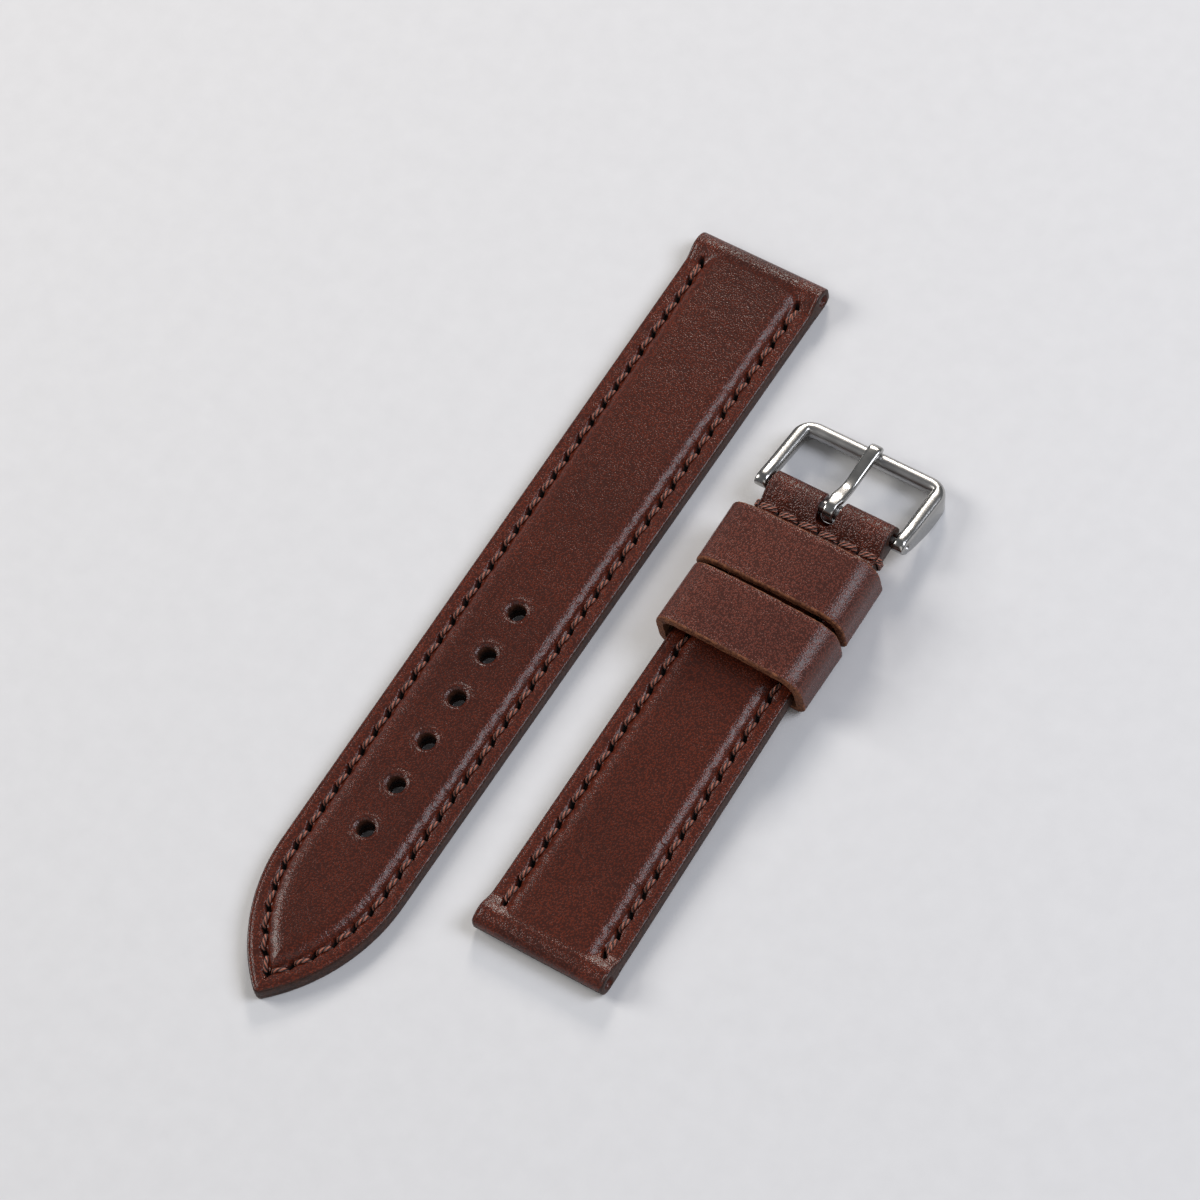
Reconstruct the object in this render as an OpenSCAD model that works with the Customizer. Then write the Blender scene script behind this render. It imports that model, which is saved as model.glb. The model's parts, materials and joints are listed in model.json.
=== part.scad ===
// Padded leather watch strap with a pin buckle, both halves laid side by side.
// The origin is on the table under the middle, +Y runs along the strap, +Z is up.

/* [Strap] */
// Width at the lug ends, which fill the watch's lugs
lug_w = 20; // [16:1:24]
// Length of the long half, from its lug end to its point
tail_l = 125; // [115:1:135]
// Width of the long half where its point begins
tail_w = 18.8; // [14:0.2:19.6]
// Length of the pointed end of the long half
point_l = 20; // [16:1:26]
// How much of the sharp point is rounded off
tip_blunt = 0.25; // [0.1:0.05:0.4]
// Length of the short half, from its lug end to the outside of the buckle fold
short_l = 75; // [68:1:85]
// Width of the short half at the buckle fold
buckle_end_w = 18.4; // [14:0.2:18.4]
// Distance between the centre lines of the two halves
half_spacing = 29.1; // [28:0.5:45]
// How far the lug end of the short half lies before the middle of the long half
short_lug_offset = 40.8; // [36:0.2:50]

/* [Leather layers] */
// Thickness of the lining
lining_t = 0.9; // [0.7:0.1:1.2]
// Thickness of the stay tape, and of the cover's skived turn-in
stay_t = 0.3; // [0.2:0.05:0.4]
// Thickness of the cover leather
cover_t = 1.1; // [0.9:0.05:1.2]
// Rise of the padded middle above the flat margins
crown_rise = 1.1; // [0.7:0.1:1.5]
// Width of the rounded shoulder beside the padded middle
crown_shoulder = 2.9; // [2:0.1:4]

/* [Folds and bores] */
// Outer radius of the folds round the lug spring bars
lug_fold_r = 1.75; // [1.6:0.05:1.9]
// Radius of the bores for the lug spring bars
lug_bore_r = 0.95; // [0.7:0.05:1]
// Outer radius of the fold round the buckle's spring bar
buckle_fold_r = 1.8; // [1.7:0.05:1.9]
// Radius of the bore in the buckle fold
buckle_bore_r = 0.95; // [0.95:0.01:1]
// Length over which a fold thins down to the flat margins
fold_taper = 5.4; // [4.6:0.1:7]
// How far the lining stops short of a fold's outside
lining_setback = 4.1; // [3.6:0.1:4.4]
// Length of the cover's turn-in from a fold's outside
turn_in = 12; // [9:0.5:16]

/* [Holes and slot] */
// Number of holes for the buckle tongue
hole_count = 6; // [5:1:8]
// Radius of the tongue holes
hole_r = 1.3; // [0.9:0.05:1.5]
// Distance between neighbouring holes
hole_pitch = 7.25; // [5:0.25:8]
// Distance from the last hole to the point
last_hole = 26; // [22:0.5:32]
// Width of the tongue slot in the buckle fold
slot_w = 3.2; // [2.8:0.1:4]
// Depth of the tongue slot from the fold's outside
slot_depth = 4.7; // [4.4:0.1:5]

/* [Stitching] */
// Wanted length of one stitch
stitch_pitch = 3.14; // [2.6:0.02:4]
// Distance of the stitch rows from the edges
stitch_inset = 2.3; // [2:0.1:2.8]
// Distance of the first stitch hole from the lug end
first_stitch = 4.7; // [4.6:0.1:6]
// Radius of the sewing thread
thread_r = 0.28; // [0.2:0.02:0.32]
// Stitches in the row across the buckle end, over both edges
cross_stitches = 6; // [6:2:8]
// Distance of the cross row from the fold's outside
cross_setback = 5.5; // [5.2:0.1:6]

/* [Keepers] */
// Width of each keeper loop along the strap
keeper_l = 9.5; // [7:0.5:10]
// Thickness of the keeper leather
keeper_t = 1.2; // [0.9:0.1:1.5]
// Inside width of the keeper loops
keeper_in_w = 20.4; // [20.4:0.2:22]
// Space above the padded middle for the long half
keeper_room = 2.4; // [1.8:0.1:4]
// Inside radius of a keeper's upper bends
keeper_top_in_r = 1.1; // [0.6:0.1:1.6]
// Inside radius of a keeper's lower bends
keeper_foot_in_r = 0.5; // [0.3:0.1:0.8]
// Rise of the domed keeper roof
keeper_dome = 0.5; // [0.3:0.1:0.8]
// Distance of the fixed keeper from the buckle fold's outside
fixed_keeper_setback = 8; // [7.5:0.5:10]
// Gap between the two keepers
keeper_gap = 1.2; // [0.8:0.1:4]
// Running clearance under the free keeper
free_keeper_gap = 0.3; // [0.2:0.05:0.4]

/* [Buckle] */
// Clearance between the strap's edges and the ears
ear_clearance = 0.39; // [0.3:0.01:1]
// Distance from the spring bar to the outside of the front bar
frame_l = 11.7; // [11:0.1:14]
// Radius of the front bar and of the arms at the corners
bar_r = 1.1; // [0.9:0.05:1.1]
// Radius of the arms beside the ears
arm_end_r = 0.9; // [0.8:0.05:0.95]
// Outside radius of the front corners
frame_corner_r = 3; // [2.6:0.1:4]
// Depth of the side skirts below the middle of the arms
skirt_depth = 2.7; // [2:0.1:3]
// Depth of the skirts at the ears
skirt_end_depth = 0.9; // [0.7:0.1:1.1]
// Thickness of the skirts
skirt_t = 1; // [0.8:0.1:1.1]
// Radius of the ears
ear_r = 1.25; // [1.1:0.05:1.4]
// Radius of the spring bar holes in the ears
ear_hole_r = 0.5; // [0.5:0.01:0.55]

/* [Tongue] */
// Thickness of the tongue
tongue_t = 1.1; // [0.9:0.05:1.2]
// Width of the tongue at its loop
tongue_loop_w = 1.6; // [1.2:0.1:2]
// Width of the tongue at its crest
tongue_crest_w = 2.2; // [1.8:0.1:2.4]
// Width of the tongue at its waist
tongue_waist_w = 1.7; // [1.4:0.1:2]
// Width of the tongue at its end
tongue_end_w = 2; // [1.6:0.1:2.4]
// Wall of the tongue's loop round the spring bar
tongue_loop_t = 0.75; // [0.6:0.05:0.8]
// Radius of the hole in the tongue's loop
tongue_eye_r = 0.95; // [0.95:0.01:1]
// Gap between the tongue and the front bar it lies on
tongue_gap = 0.08; // [0.05:0.01:0.2]

/* [Spring bar] */
// Outside radius of the spring bar's tube
tube_r = 0.9; // [0.8:0.02:0.9]
// Inside radius of the tube
tube_bore_r = 0.65; // [0.62:0.01:0.7]
// How far the tube stops short of the strap's edges
tube_setback = 0.4; // [0.3:0.1:1.5]
// Length of the crimp at each end of the tube
crimp_l = 0.4; // [0.3:0.05:0.5]
// Radius of the crimped opening round the tips
crimp_r = 0.5; // [0.48:0.01:0.52]
// Radius of the tips
tip_r = 0.45; // [0.4:0.01:0.46]
// How far each tip reaches into its ear
tip_seat = 1.31; // [1:0.01:1.4]
// Radius of the piston behind each tip
piston_r = 0.6; // [0.56:0.01:0.61]
// Length of each piston
piston_l = 2.3; // [1.6:0.1:2.6]
// Radius of the spring wire
wire_r = 0.1; // [0.08:0.01:0.1]
// Turns of the spring
spring_turns = 18; // [14:1:18]

/* [Hidden] */
$fn = 64;
point_fn = 160;
// How far a cut runs past the face it opens
over = 1;
// Thickness of the thin sheets that a crown is stretched over
sheet = 0.01;

cover_colour = [0.36, 0.18, 0.15];
lining_colour = [0.50, 0.33, 0.24];
keeper_colour = [0.38, 0.21, 0.17];
thread_colour = [0.52, 0.32, 0.25];
filler_colour = [0.80, 0.76, 0.68];
steel_colour = [0.72, 0.72, 0.70];

// Heights in the flat margin, and the top of the padded middle
base_t = lining_t + stay_t;
edge_t = base_t + cover_t;
crown_t = edge_t + crown_rise;
fold_max = 2 * max(lug_fold_r, buckle_fold_r);
tall = crown_t + fold_max;

// The skirts stand a little inside the rod, and the ears reach across both
skirt_step = 0.06;
ear_w = bar_r + arm_end_r + skirt_step;
frame_w = buckle_end_w + 2 * (ear_clearance + ear_w);
tube_l = buckle_end_w - 2 * tube_setback;
tip_out = tube_setback + ear_clearance + tip_seat;

// Where each half lies across the table
tail_x = (lug_w / 2 - half_spacing - frame_w / 2) / 2;
short_x = tail_x + half_spacing;

// The crown rises from just inside the stitches: share of the shoulder, share of the rise
crown_shares = [[0, 0], [0.14, 0.5], [0.45, 0.87], [1, 1]];
crown_foot = 0.65;

// The pointed end is two arcs that run on from the sides and would meet past its tip
point_half = tail_w / 2;
point_y = tail_l - point_l;
arc_l = point_l + tip_blunt;
arc_r = (arc_l * arc_l + point_half * point_half) / (2 * point_half);
arc_x = arc_r - point_half;
// The tip's curve, a little wider than one that would only touch the arcs
tip_angle = acos(arc_x / arc_r);
tip_curve_share = 1.2;
tip_curve_r = tip_curve_share * tip_blunt * sin(tip_angle) / (1 - sin(tip_angle));
tip_shoulder_y = tail_l - tip_blunt * sin(tip_angle);

function tail_half(y) = lug_w / 2 + (tail_w - lug_w) / 2 * y / point_y;
function short_half(y) = lug_w / 2 + (buckle_end_w - lug_w) / 2 * y / short_l;

// A layer of the long half, drawn in by inset, from y_from on to the point
module tail_slab(inset, z, h, y_from) {
    arc = arc_r - inset;
    translate([0, 0, z]) {
        linear_extrude(h)
            polygon([
                [inset - tail_half(y_from), y_from],
                [tail_half(y_from) - inset, y_from],
                [point_half - inset, point_y],
                [inset - point_half, point_y]]);
        intersection() {
            translate([-arc_x, point_y, 0]) cylinder(h = h, r = arc, $fn = point_fn);
            translate([arc_x, point_y, 0]) cylinder(h = h, r = arc, $fn = point_fn);
            if (inset > 0) {
                translate([inset - point_half, point_y, 0])
                    cube([2 * (point_half - inset), arc_l, h]);
            } else {
                translate([-point_half, point_y, 0])
                    cube([tail_w, tip_shoulder_y - point_y, h]);
                translate([0, tail_l - tip_curve_r, 0])
                    cylinder(h = h, r = tip_curve_r);
            }
        }
    }
}

// A layer of the short half, drawn in by inset
module short_slab(inset, z, h, y_from, y_to) {
    translate([0, 0, z])
        linear_extrude(h)
            polygon([
                [inset - short_half(y_from), y_from],
                [short_half(y_from) - inset, y_from],
                [short_half(y_to) - inset, y_to],
                [inset - short_half(y_to), y_to]]);
}

function crown_inset(share) = stitch_inset + crown_foot + share * crown_shoulder;
function crown_z(share, drop) = edge_t - drop + share * crown_rise;

// The padded middle of each half; drop lowers it to the pad's own height
module tail_crown(drop, y_from) {
    hull()
        for (s = crown_shares)
            tail_slab(crown_inset(s[0]), crown_z(s[1], drop) - (s[1] > 0 ? sheet : 0), sheet, y_from);
}

module short_crown(drop, y_from, y_to) {
    hull()
        for (s = crown_shares)
            short_slab(crown_inset(s[0]), crown_z(s[1], drop) - (s[1] > 0 ? sheet : 0), sheet,
                y_from, y_to - s[0] * crown_shoulder);
}

// A bar along X with its middle at [y, z]
module x_rod(r, l, y, z) {
    translate([0, y, z]) rotate([0, 90, 0]) cylinder(h = l, r = r, center = true);
}

// The leather folded round a bore at y = r, thinning down to the flat margins
module fold(r, w) {
    run = fold_taper - r;
    rise = edge_t - r;
    far = sqrt(run * run + rise * rise);
    // Where the straight slope leaves the round fold
    turn = atan2(rise, run) + acos(r / far);
    x_rod(r, w, r, r);
    rotate([90, 0, 90])
        linear_extrude(w, center = true)
            polygon([[r, 0], [lining_setback, 0], [lining_setback, lining_t],
                [fold_taper, lining_t], [fold_taper, edge_t],
                [r + r * cos(turn), r + r * sin(turn)], [r, r]]);
}

// Long half, drawn from its lug end along +Y and then laid with its point towards -Y
module place_tail() {
    translate([tail_x, tail_l / 2, 0]) rotate([0, 0, 180]) children();
}

module tongue_holes() {
    for (i = [0 : hole_count - 1])
        translate([0, tail_l - last_hole - i * hole_pitch, -over])
            cylinder(h = tall + 2 * over, r = hole_r);
}

pad_start = lining_setback + stay_t;

module tail_pad_form() {
    tail_crown(cover_t, pad_start);
}

module tail_stay_form() {
    tail_slab(0, lining_t, stay_t, turn_in);
}

module tail_cover() {
    color(cover_colour)
        place_tail()
            difference() {
                union() {
                    tail_slab(0, lining_t, edge_t - lining_t, lining_setback);
                    intersection() {
                        fold(lug_fold_r, lug_w);
                        short_slab(0, 0, tall, 0, fold_taper + over);
                    }
                    tail_crown(0, lug_fold_r);
                }
                tail_pad_form();
                tail_stay_form();
                x_rod(lug_bore_r, lug_w + 2 * over, lug_fold_r, lug_fold_r);
                tongue_holes();
            }
}

module tail_pad() {
    color(filler_colour)
        place_tail()
            difference() {
                tail_pad_form();
                tongue_holes();
            }
}

module tail_stay() {
    color(filler_colour)
        place_tail()
            difference() {
                tail_stay_form();
                tongue_holes();
            }
}

module tail_lining() {
    color(lining_colour)
        place_tail()
            difference() {
                tail_slab(0, 0, lining_t, lining_setback);
                tongue_holes();
            }
}

// Short half: tilted so that its lug fold and the free keeper rest on the table
fixed_keeper_end = short_l - fixed_keeper_setback;
fixed_keeper_y = fixed_keeper_end - keeper_l;
free_keeper_y = fixed_keeper_y - keeper_gap - keeper_l;
tilt_run = free_keeper_y - lug_fold_r;
tilt_rise = lug_fold_r + free_keeper_gap + keeper_t;
tilt = atan2(tilt_rise, tilt_run)
    - asin(lug_fold_r / sqrt(tilt_run * tilt_run + tilt_rise * tilt_rise));

module place_short() {
    translate([short_x, lug_fold_r - short_lug_offset, lug_fold_r])
        rotate([tilt, 0, 0])
            translate([0, -lug_fold_r, -lug_fold_r])
                children();
}

// Where the short half's pad and stay end before the buckle fold
filler_end = short_l - turn_in;

module buckle_end() {
    translate([0, short_l, 0]) mirror([0, 1, 0]) children();
}

module slot_cut() {
    slot_r = slot_w / 2;
    translate([0, short_l - slot_depth + slot_r, -over]) {
        cylinder(h = tall + 2 * over, r = slot_r);
        translate([-slot_r, 0, 0]) cube([slot_w, slot_depth + over, tall + 2 * over]);
    }
}

module short_pad_form() {
    short_crown(cover_t, pad_start, filler_end);
}

module short_stay_form() {
    short_slab(0, lining_t, stay_t, turn_in, filler_end);
}

module short_cover() {
    color(cover_colour)
        place_short()
            difference() {
                union() {
                    short_slab(0, lining_t, edge_t - lining_t,
                        lining_setback, short_l - lining_setback);
                    intersection() {
                        union() {
                            fold(lug_fold_r, lug_w);
                            buckle_end() fold(buckle_fold_r, lug_w);
                        }
                        short_slab(0, 0, tall, 0, short_l);
                    }
                    short_crown(0, lug_fold_r, filler_end + cover_t);
                }
                short_pad_form();
                short_stay_form();
                x_rod(lug_bore_r, lug_w + 2 * over, lug_fold_r, lug_fold_r);
                x_rod(buckle_bore_r, lug_w + 2 * over, short_l - buckle_fold_r, buckle_fold_r);
                slot_cut();
            }
}

module short_pad() {
    color(filler_colour) place_short() short_pad_form();
}

module short_stay() {
    color(filler_colour) place_short() short_stay_form();
}

module short_lining() {
    color(lining_colour)
        place_short()
            difference() {
                short_slab(0, 0, lining_t, lining_setback, short_l - lining_setback);
                slot_cut();
            }
}

// A saddle stitch: two passes of one thread go over and under the leather in turn.
// At each hole the pass going up lies on one side of the row and the one going down
// on the other, which makes every stitch lean.
thread_sides = 6;
pass_gap = 0.04;
lean = thread_r + pass_gap / 2;
under_z = thread_r + sheet;

function unit(v) = v / norm(v);

// The row's heading at hole i, from its neighbours
function row_dir(holes, i) =
    unit(holes[min(i + 1, len(holes) - 1)] - holes[max(i - 1, 0)]);
function row_side(holes, i) = [-row_dir(holes, i)[1], row_dir(holes, i)[0]];

// One pass of the thread, from one corner of its path to the next
function pass_path(holes, top_z, low_z, pass) = [
    for (i = [0 : len(holes) - 1])
        let (
            up = i % 2 == pass,
            p = holes[i] + (up ? lean : -lean) * row_side(holes, i))
        each [[p[0], p[1], up ? low_z : top_z], [p[0], p[1], up ? top_z : low_z]]];

// The ring of points round corner i of a path, on the plane that halves the corner
function pass_ring(path, i, side) =
    let (
        last = len(path) - 1,
        before = unit(i > 0 ? path[i] - path[i - 1] : path[1] - path[0]),
        after = unit(i < last ? path[i + 1] - path[i] : path[last] - path[last - 1]),
        mitre = unit(before + after),
        u = unit(side - (side * before) * before),
        v = cross(before, u))
    [for (j = [0 : thread_sides - 1])
        let (
            a = 360 * (j + 0.5) / thread_sides,
            spoke = thread_r * (cos(a) * u + sin(a) * v))
        path[i] + spoke - before * (spoke * mitre) / (before * mitre)];

// A closed tube through rings of equal size
module ring_tube(rings) {
    sides = len(rings[0]);
    last = len(rings) - 1;
    walls = [for (k = [0 : last - 1]) for (j = [0 : sides - 1])
        let (
            a = k * sides + j,
            b = k * sides + (j + 1) % sides)
        each [[a, a + sides, b], [b, a + sides, b + sides]]];
    caps = [
        [for (j = [0 : sides - 1]) j],
        [for (j = [sides - 1 : -1 : 0]) last * sides + j]];
    polyhedron([for (ring = rings) each ring], concat(walls, caps));
}

module stitch_row(holes, top_z, low_z) {
    for (pass = [0, 1]) {
        path = pass_path(holes, top_z, low_z, pass);
        ring_tube([for (i = [0 : len(path) - 1])
            let (s = row_side(holes, floor(i / 2)))
            pass_ring(path, i, [s[0], s[1], 0])]);
    }
}

// The long half's row follows the side, then the arc of the pointed end to its apex
row_straight = point_y - first_stitch;
row_arc_r = arc_r - stitch_inset;
row_turn = acos(arc_x / row_arc_r);
row_l = row_straight + row_arc_r * row_turn * PI / 180;
row_count = round(row_l / stitch_pitch);

function tail_stitch(i) =
    let (s = i * row_l / row_count)
    s <= row_straight
        ? [tail_half(first_stitch + s) - stitch_inset, first_stitch + s]
        : let (a = (s - row_straight) / row_arc_r * 180 / PI)
            [row_arc_r * cos(a) - arc_x, point_y + row_arc_r * sin(a)];

module tail_thread() {
    right = [for (i = [0 : row_count]) tail_stitch(i)];
    left = [for (i = [row_count - 1 : -1 : 0]) [-right[i][0], right[i][1]]];
    color(thread_colour) place_tail() stitch_row(concat(right, left), edge_t, under_z);
}

// The short half's rows end under the fixed keeper
short_row_end = fixed_keeper_end - keeper_l / 2;
short_row_count = floor((short_row_end - first_stitch) / stitch_pitch);

function short_stitch(i) =
    let (y = first_stitch + i * stitch_pitch)
    [short_half(y) - stitch_inset, y];

module short_thread(side) {
    color(thread_colour)
        place_short()
            stitch_row([for (i = [0 : short_row_count])
                [side * short_stitch(i)[0], short_stitch(i)[1]]], edge_t, under_z);
}

module short_thread_left() {
    short_thread(-1);
}

module short_thread_right() {
    short_thread(1);
}

// The cross row wraps round both edges of the strap
module cross_thread() {
    y = short_l - cross_setback;
    half = short_half(y);
    pitch = 2 * half / cross_stitches;
    wrap = half + thread_r;
    color(thread_colour)
        place_short()
            stitch_row(concat(
                [[-wrap, y]],
                [for (i = [1 : cross_stitches - 1]) [i * pitch - half, y]],
                [[wrap, y]]), edge_t, under_z);
}

// A closed loop's core along Y: flat below, straight sides and a domed roof
module loop_core(w, z0, z1, dome, top_r, foot_r, y, l) {
    half = w / 2;
    dome_r = (half * half + dome * dome) / (2 * dome);
    dome_z = z1 - dome_r;
    corner_x = half - top_r;
    corner_z = dome_z + sqrt((dome_r - top_r) * (dome_r - top_r) - corner_x * corner_x);
    meet_x = corner_x * dome_r / (dome_r - top_r);
    translate([0, y + l, 0])
        rotate([90, 0, 0]) {
            intersection() {
                translate([0, dome_z, 0]) cylinder(h = l, r = dome_r, $fn = 4 * point_fn);
                translate([-meet_x, z0 + foot_r, 0]) cube([2 * meet_x, z1 - z0, l]);
            }
            translate([-half, z0 + foot_r, 0]) cube([w, corner_z - z0 - foot_r, l]);
            translate([foot_r - half, z0, 0]) cube([w - 2 * foot_r, corner_z - z0, l]);
            for (side = [-1, 1]) {
                translate([side * corner_x, corner_z, 0]) cylinder(h = l, r = top_r);
                translate([side * (half - foot_r), z0 + foot_r, 0]) cylinder(h = l, r = foot_r);
            }
        }
}

module keeper(y, floor_z) {
    roof_z = crown_t + keeper_room;
    difference() {
        loop_core(keeper_in_w + 2 * keeper_t, floor_z - keeper_t, roof_z + keeper_t,
            keeper_dome, keeper_top_in_r + keeper_t, keeper_foot_in_r + keeper_t, y, keeper_l);
        loop_core(keeper_in_w, floor_z, roof_z,
            keeper_dome, keeper_top_in_r, keeper_foot_in_r,
            y - over, keeper_l + 2 * over);
    }
}

// Stitch holes along a keeper's seam under the strap
seam_stitches = 4;

module keeper_seam(y, floor_z) {
    step = keeper_l / seam_stitches;
    color(thread_colour)
        place_short()
            stitch_row([for (i = [0 : seam_stitches - 1]) [0, y + (i + 0.5) * step]],
                floor_z - under_z, floor_z - keeper_t + under_z);
}

module fixed_keeper() {
    color(keeper_colour) place_short() keeper(fixed_keeper_y, 0);
}

module fixed_keeper_thread() {
    keeper_seam(fixed_keeper_y, 0);
}

module free_keeper() {
    color(keeper_colour) place_short() keeper(free_keeper_y, -free_keeper_gap);
}

module free_keeper_thread() {
    keeper_seam(free_keeper_y, -free_keeper_gap);
}

// The buckle turns about the spring bar and lies with its skirts on the table
pivot_y = short_l - buckle_fold_r;
pivot_run = pivot_y - lug_fold_r;
pivot_drop = buckle_fold_r - lug_fold_r;
pivot = [short_x,
    lug_fold_r - short_lug_offset + pivot_run * cos(tilt) - pivot_drop * sin(tilt),
    lug_fold_r + pivot_run * sin(tilt) + pivot_drop * cos(tilt)];

// The skirts' lower edge is an arc, deepest at skirt_y from the spring bar
skirt_share = 0.55;
skirt_y = skirt_share * frame_l;
skirt_drop = skirt_depth - skirt_end_depth;
skirt_r = (skirt_y * skirt_y + skirt_drop * skirt_drop) / (2 * skirt_drop);
skirt_z = skirt_r - skirt_depth;
frame_tilt = acos((skirt_r - pivot[2]) / sqrt(skirt_y * skirt_y + skirt_z * skirt_z))
    - atan2(skirt_y, skirt_z);

module place_frame() {
    translate(pivot) rotate([-frame_tilt, 0, 0]) children();
}

bar_y = frame_l - bar_r;
corner_y = frame_l - frame_corner_r;
arm_x = frame_w / 2 - bar_r;

// A plate over the frame's plan, with round front corners
module frame_plan(w, front, corner, z, h) {
    translate([-w / 2, 0, z]) cube([w, front - corner, h]);
    translate([corner - w / 2, 0, z]) cube([w - 2 * corner, front, h]);
    for (side = [-1, 1])
        translate([side * (w / 2 - corner), front - corner, z]) cylinder(h = h, r = corner);
}

module buckle_frame() {
    color(steel_colour)
        place_frame()
            difference() {
                union() {
                    x_rod(bar_r, frame_w - 2 * frame_corner_r, bar_y, 0);
                    for (side = [0, 1])
                        mirror([side, 0, 0]) {
                            translate([frame_w / 2 - frame_corner_r, corner_y, 0])
                                rotate_extrude(angle = 90)
                                    translate([frame_corner_r - bar_r, 0]) circle(r = bar_r);
                            translate([arm_x, 0, 0])
                                rotate([-90, 0, 0])
                                    cylinder(h = corner_y, r1 = arm_end_r, r2 = bar_r);
                            translate([frame_w / 2 - ear_w, 0, 0])
                                rotate([0, 90, 0])
                                    cylinder(h = ear_w, r = ear_r);
                        }
                    intersection() {
                        difference() {
                            frame_plan(frame_w - 2 * skirt_step, frame_l - skirt_step,
                                frame_corner_r - skirt_step, -skirt_depth, skirt_depth);
                            translate([0, -over, 0])
                                frame_plan(frame_w - 2 * skirt_t, frame_l - skirt_t + over,
                                    frame_corner_r - skirt_t, -skirt_depth - over, tall);
                        }
                        x_rod(skirt_r, frame_w + 2 * over, skirt_y, skirt_z);
                    }
                }
                x_rod(ear_hole_r, frame_w + 2 * over, 0, 0);
            }
}

// The tongue's side view: the middle line of its strip, as [y, z] from the spring bar
tongue_loop_r = tongue_eye_r + tongue_loop_t;
rest_z = bar_r + tongue_gap + tongue_t / 2;
// Shares of the loop's radius, the bar's distance, the bar's radius and the thickness
crest_share = 0.8;
waist_share = 0.45;
end_share = 0.75;
rise_share = 0.15;
droop_share = 0.2;
crest_y = crest_share * tongue_loop_r;
waist_y = waist_share * bar_y;
end_y = bar_y + end_share * bar_r;
tongue_line = [
    [0, tongue_loop_r - tongue_t / 2],
    [crest_y, tongue_loop_r - tongue_t / 2],
    [waist_y, tongue_t / 2 + tongue_gap],
    [bar_y - bar_r, rest_z - rise_share * tongue_t],
    [bar_y, rest_z],
    [end_y, rest_z - droop_share * tongue_t]];

// The tongue's widths along its length, as [y, width]
tongue_plan = [
    [-over, tongue_loop_w],
    [0, tongue_loop_w],
    [crest_y, tongue_crest_w],
    [waist_y, tongue_waist_w],
    [end_y + over, tongue_end_w]];

// Normal of the strip at a point, mitred at the bends
function strip_dir(line, i) =
    unit((i < len(line) - 1 ? unit(line[i + 1] - line[i]) : [0, 0])
        + (i > 0 ? unit(line[i] - line[i - 1]) : [0, 0]));
function strip_side(line, i, t) =
    let (d = strip_dir(line, i))
    line[i] + [-d[1], d[0]] * t / 2;

module tongue() {
    last = len(tongue_line) - 1;
    plan_last = len(tongue_plan) - 1;
    upper = [for (i = [0 : last]) strip_side(tongue_line, i, tongue_t)];
    lower = [for (i = [last : -1 : 0]) strip_side(tongue_line, i, -tongue_t)];
    color(steel_colour)
        place_frame() {
            difference() {
                union() {
                    x_rod(tongue_loop_r, tongue_loop_w, 0, 0);
                    intersection() {
                        rotate([90, 0, 90])
                            linear_extrude(tongue_crest_w, center = true)
                                polygon(concat(upper, lower));
                        translate([0, 0, -tall])
                            linear_extrude(2 * tall)
                                polygon([for (side = [-1, 1]) for (i = [0 : plan_last])
                                    let (k = side < 0 ? i : plan_last - i)
                                    [side * tongue_plan[k][1] / 2, tongue_plan[k][0]]]);
                    }
                }
                x_rod(tongue_eye_r, tongue_crest_w + 2 * over, 0, 0);
            }
        }
}

// Spring bar, along X through the buckle fold
module place_bar() {
    translate(pivot) rotate([0, 90, 0]) children();
}

module spring_bar_tube() {
    color(steel_colour)
        place_bar()
            difference() {
                cylinder(h = tube_l, r = tube_r, center = true);
                cylinder(h = tube_l - 2 * crimp_l, r = tube_bore_r, center = true);
                cylinder(h = tube_l + 2 * over, r = crimp_r, center = true);
            }
}

// Running gap behind the crimp that keeps a piston in the tube
piston_gap = 0.05;
piston_top = tube_l / 2 - crimp_l - piston_gap;
piston_foot = piston_top - piston_l;

module spring_bar_tip(side) {
    color(steel_colour)
        place_bar()
            mirror([0, 0, side]) {
                translate([0, 0, piston_foot]) cylinder(h = piston_l, r = piston_r);
                translate([0, 0, piston_foot])
                    cylinder(h = tube_l / 2 + tip_out - piston_foot - tip_r, r = tip_r);
                translate([0, 0, tube_l / 2 + tip_out - tip_r]) sphere(r = tip_r);
            }
}

module spring_bar_tip_left() {
    spring_bar_tip(1);
}

module spring_bar_tip_right() {
    spring_bar_tip(0);
}

// The coil spring between the pistons, one unbroken wire
spring_rings = 8;
wire_sides = 6;
coil_r = piston_r - wire_r;
coil_l = 2 * (piston_foot - piston_gap - wire_r);
coil_steps = spring_turns * spring_rings;

function coil_point(k) =
    let (a = 360 * k / spring_rings)
    [coil_r * cos(a), coil_r * sin(a), coil_l * (k / coil_steps - 1 / 2)];

function coil_ring(k) =
    let (
        a = 360 * k / spring_rings,
        out = [cos(a), sin(a), 0],
        climb = coil_l / spring_turns / (2 * PI * coil_r),
        along = unit([-sin(a), cos(a), climb]),
        side = cross(along, out))
    [for (j = [0 : wire_sides - 1])
        coil_point(k) + wire_r * (cos(360 * j / wire_sides) * out + sin(360 * j / wire_sides) * side)];

// The least gap between neighbouring turns, from the coil's own points
coil_gap = min([for (k = [0 : coil_steps - spring_rings])
    norm(coil_point(k + spring_rings) - coil_point(k))]) - 2 * wire_r;
echo(spring_gap = coil_gap);

module spring_bar_spring() {
    color(steel_colour)
        place_bar() ring_tube([for (k = [0 : coil_steps]) coil_ring(k)]);
}

tail_cover();
tail_pad();
tail_stay();
tail_lining();
tail_thread();
short_cover();
short_pad();
short_stay();
short_lining();
short_thread_left();
short_thread_right();
cross_thread();
fixed_keeper();
fixed_keeper_thread();
free_keeper();
free_keeper_thread();
buckle_frame();
tongue();
spring_bar_tube();
spring_bar_tip_left();
spring_bar_tip_right();
spring_bar_spring();
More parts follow.
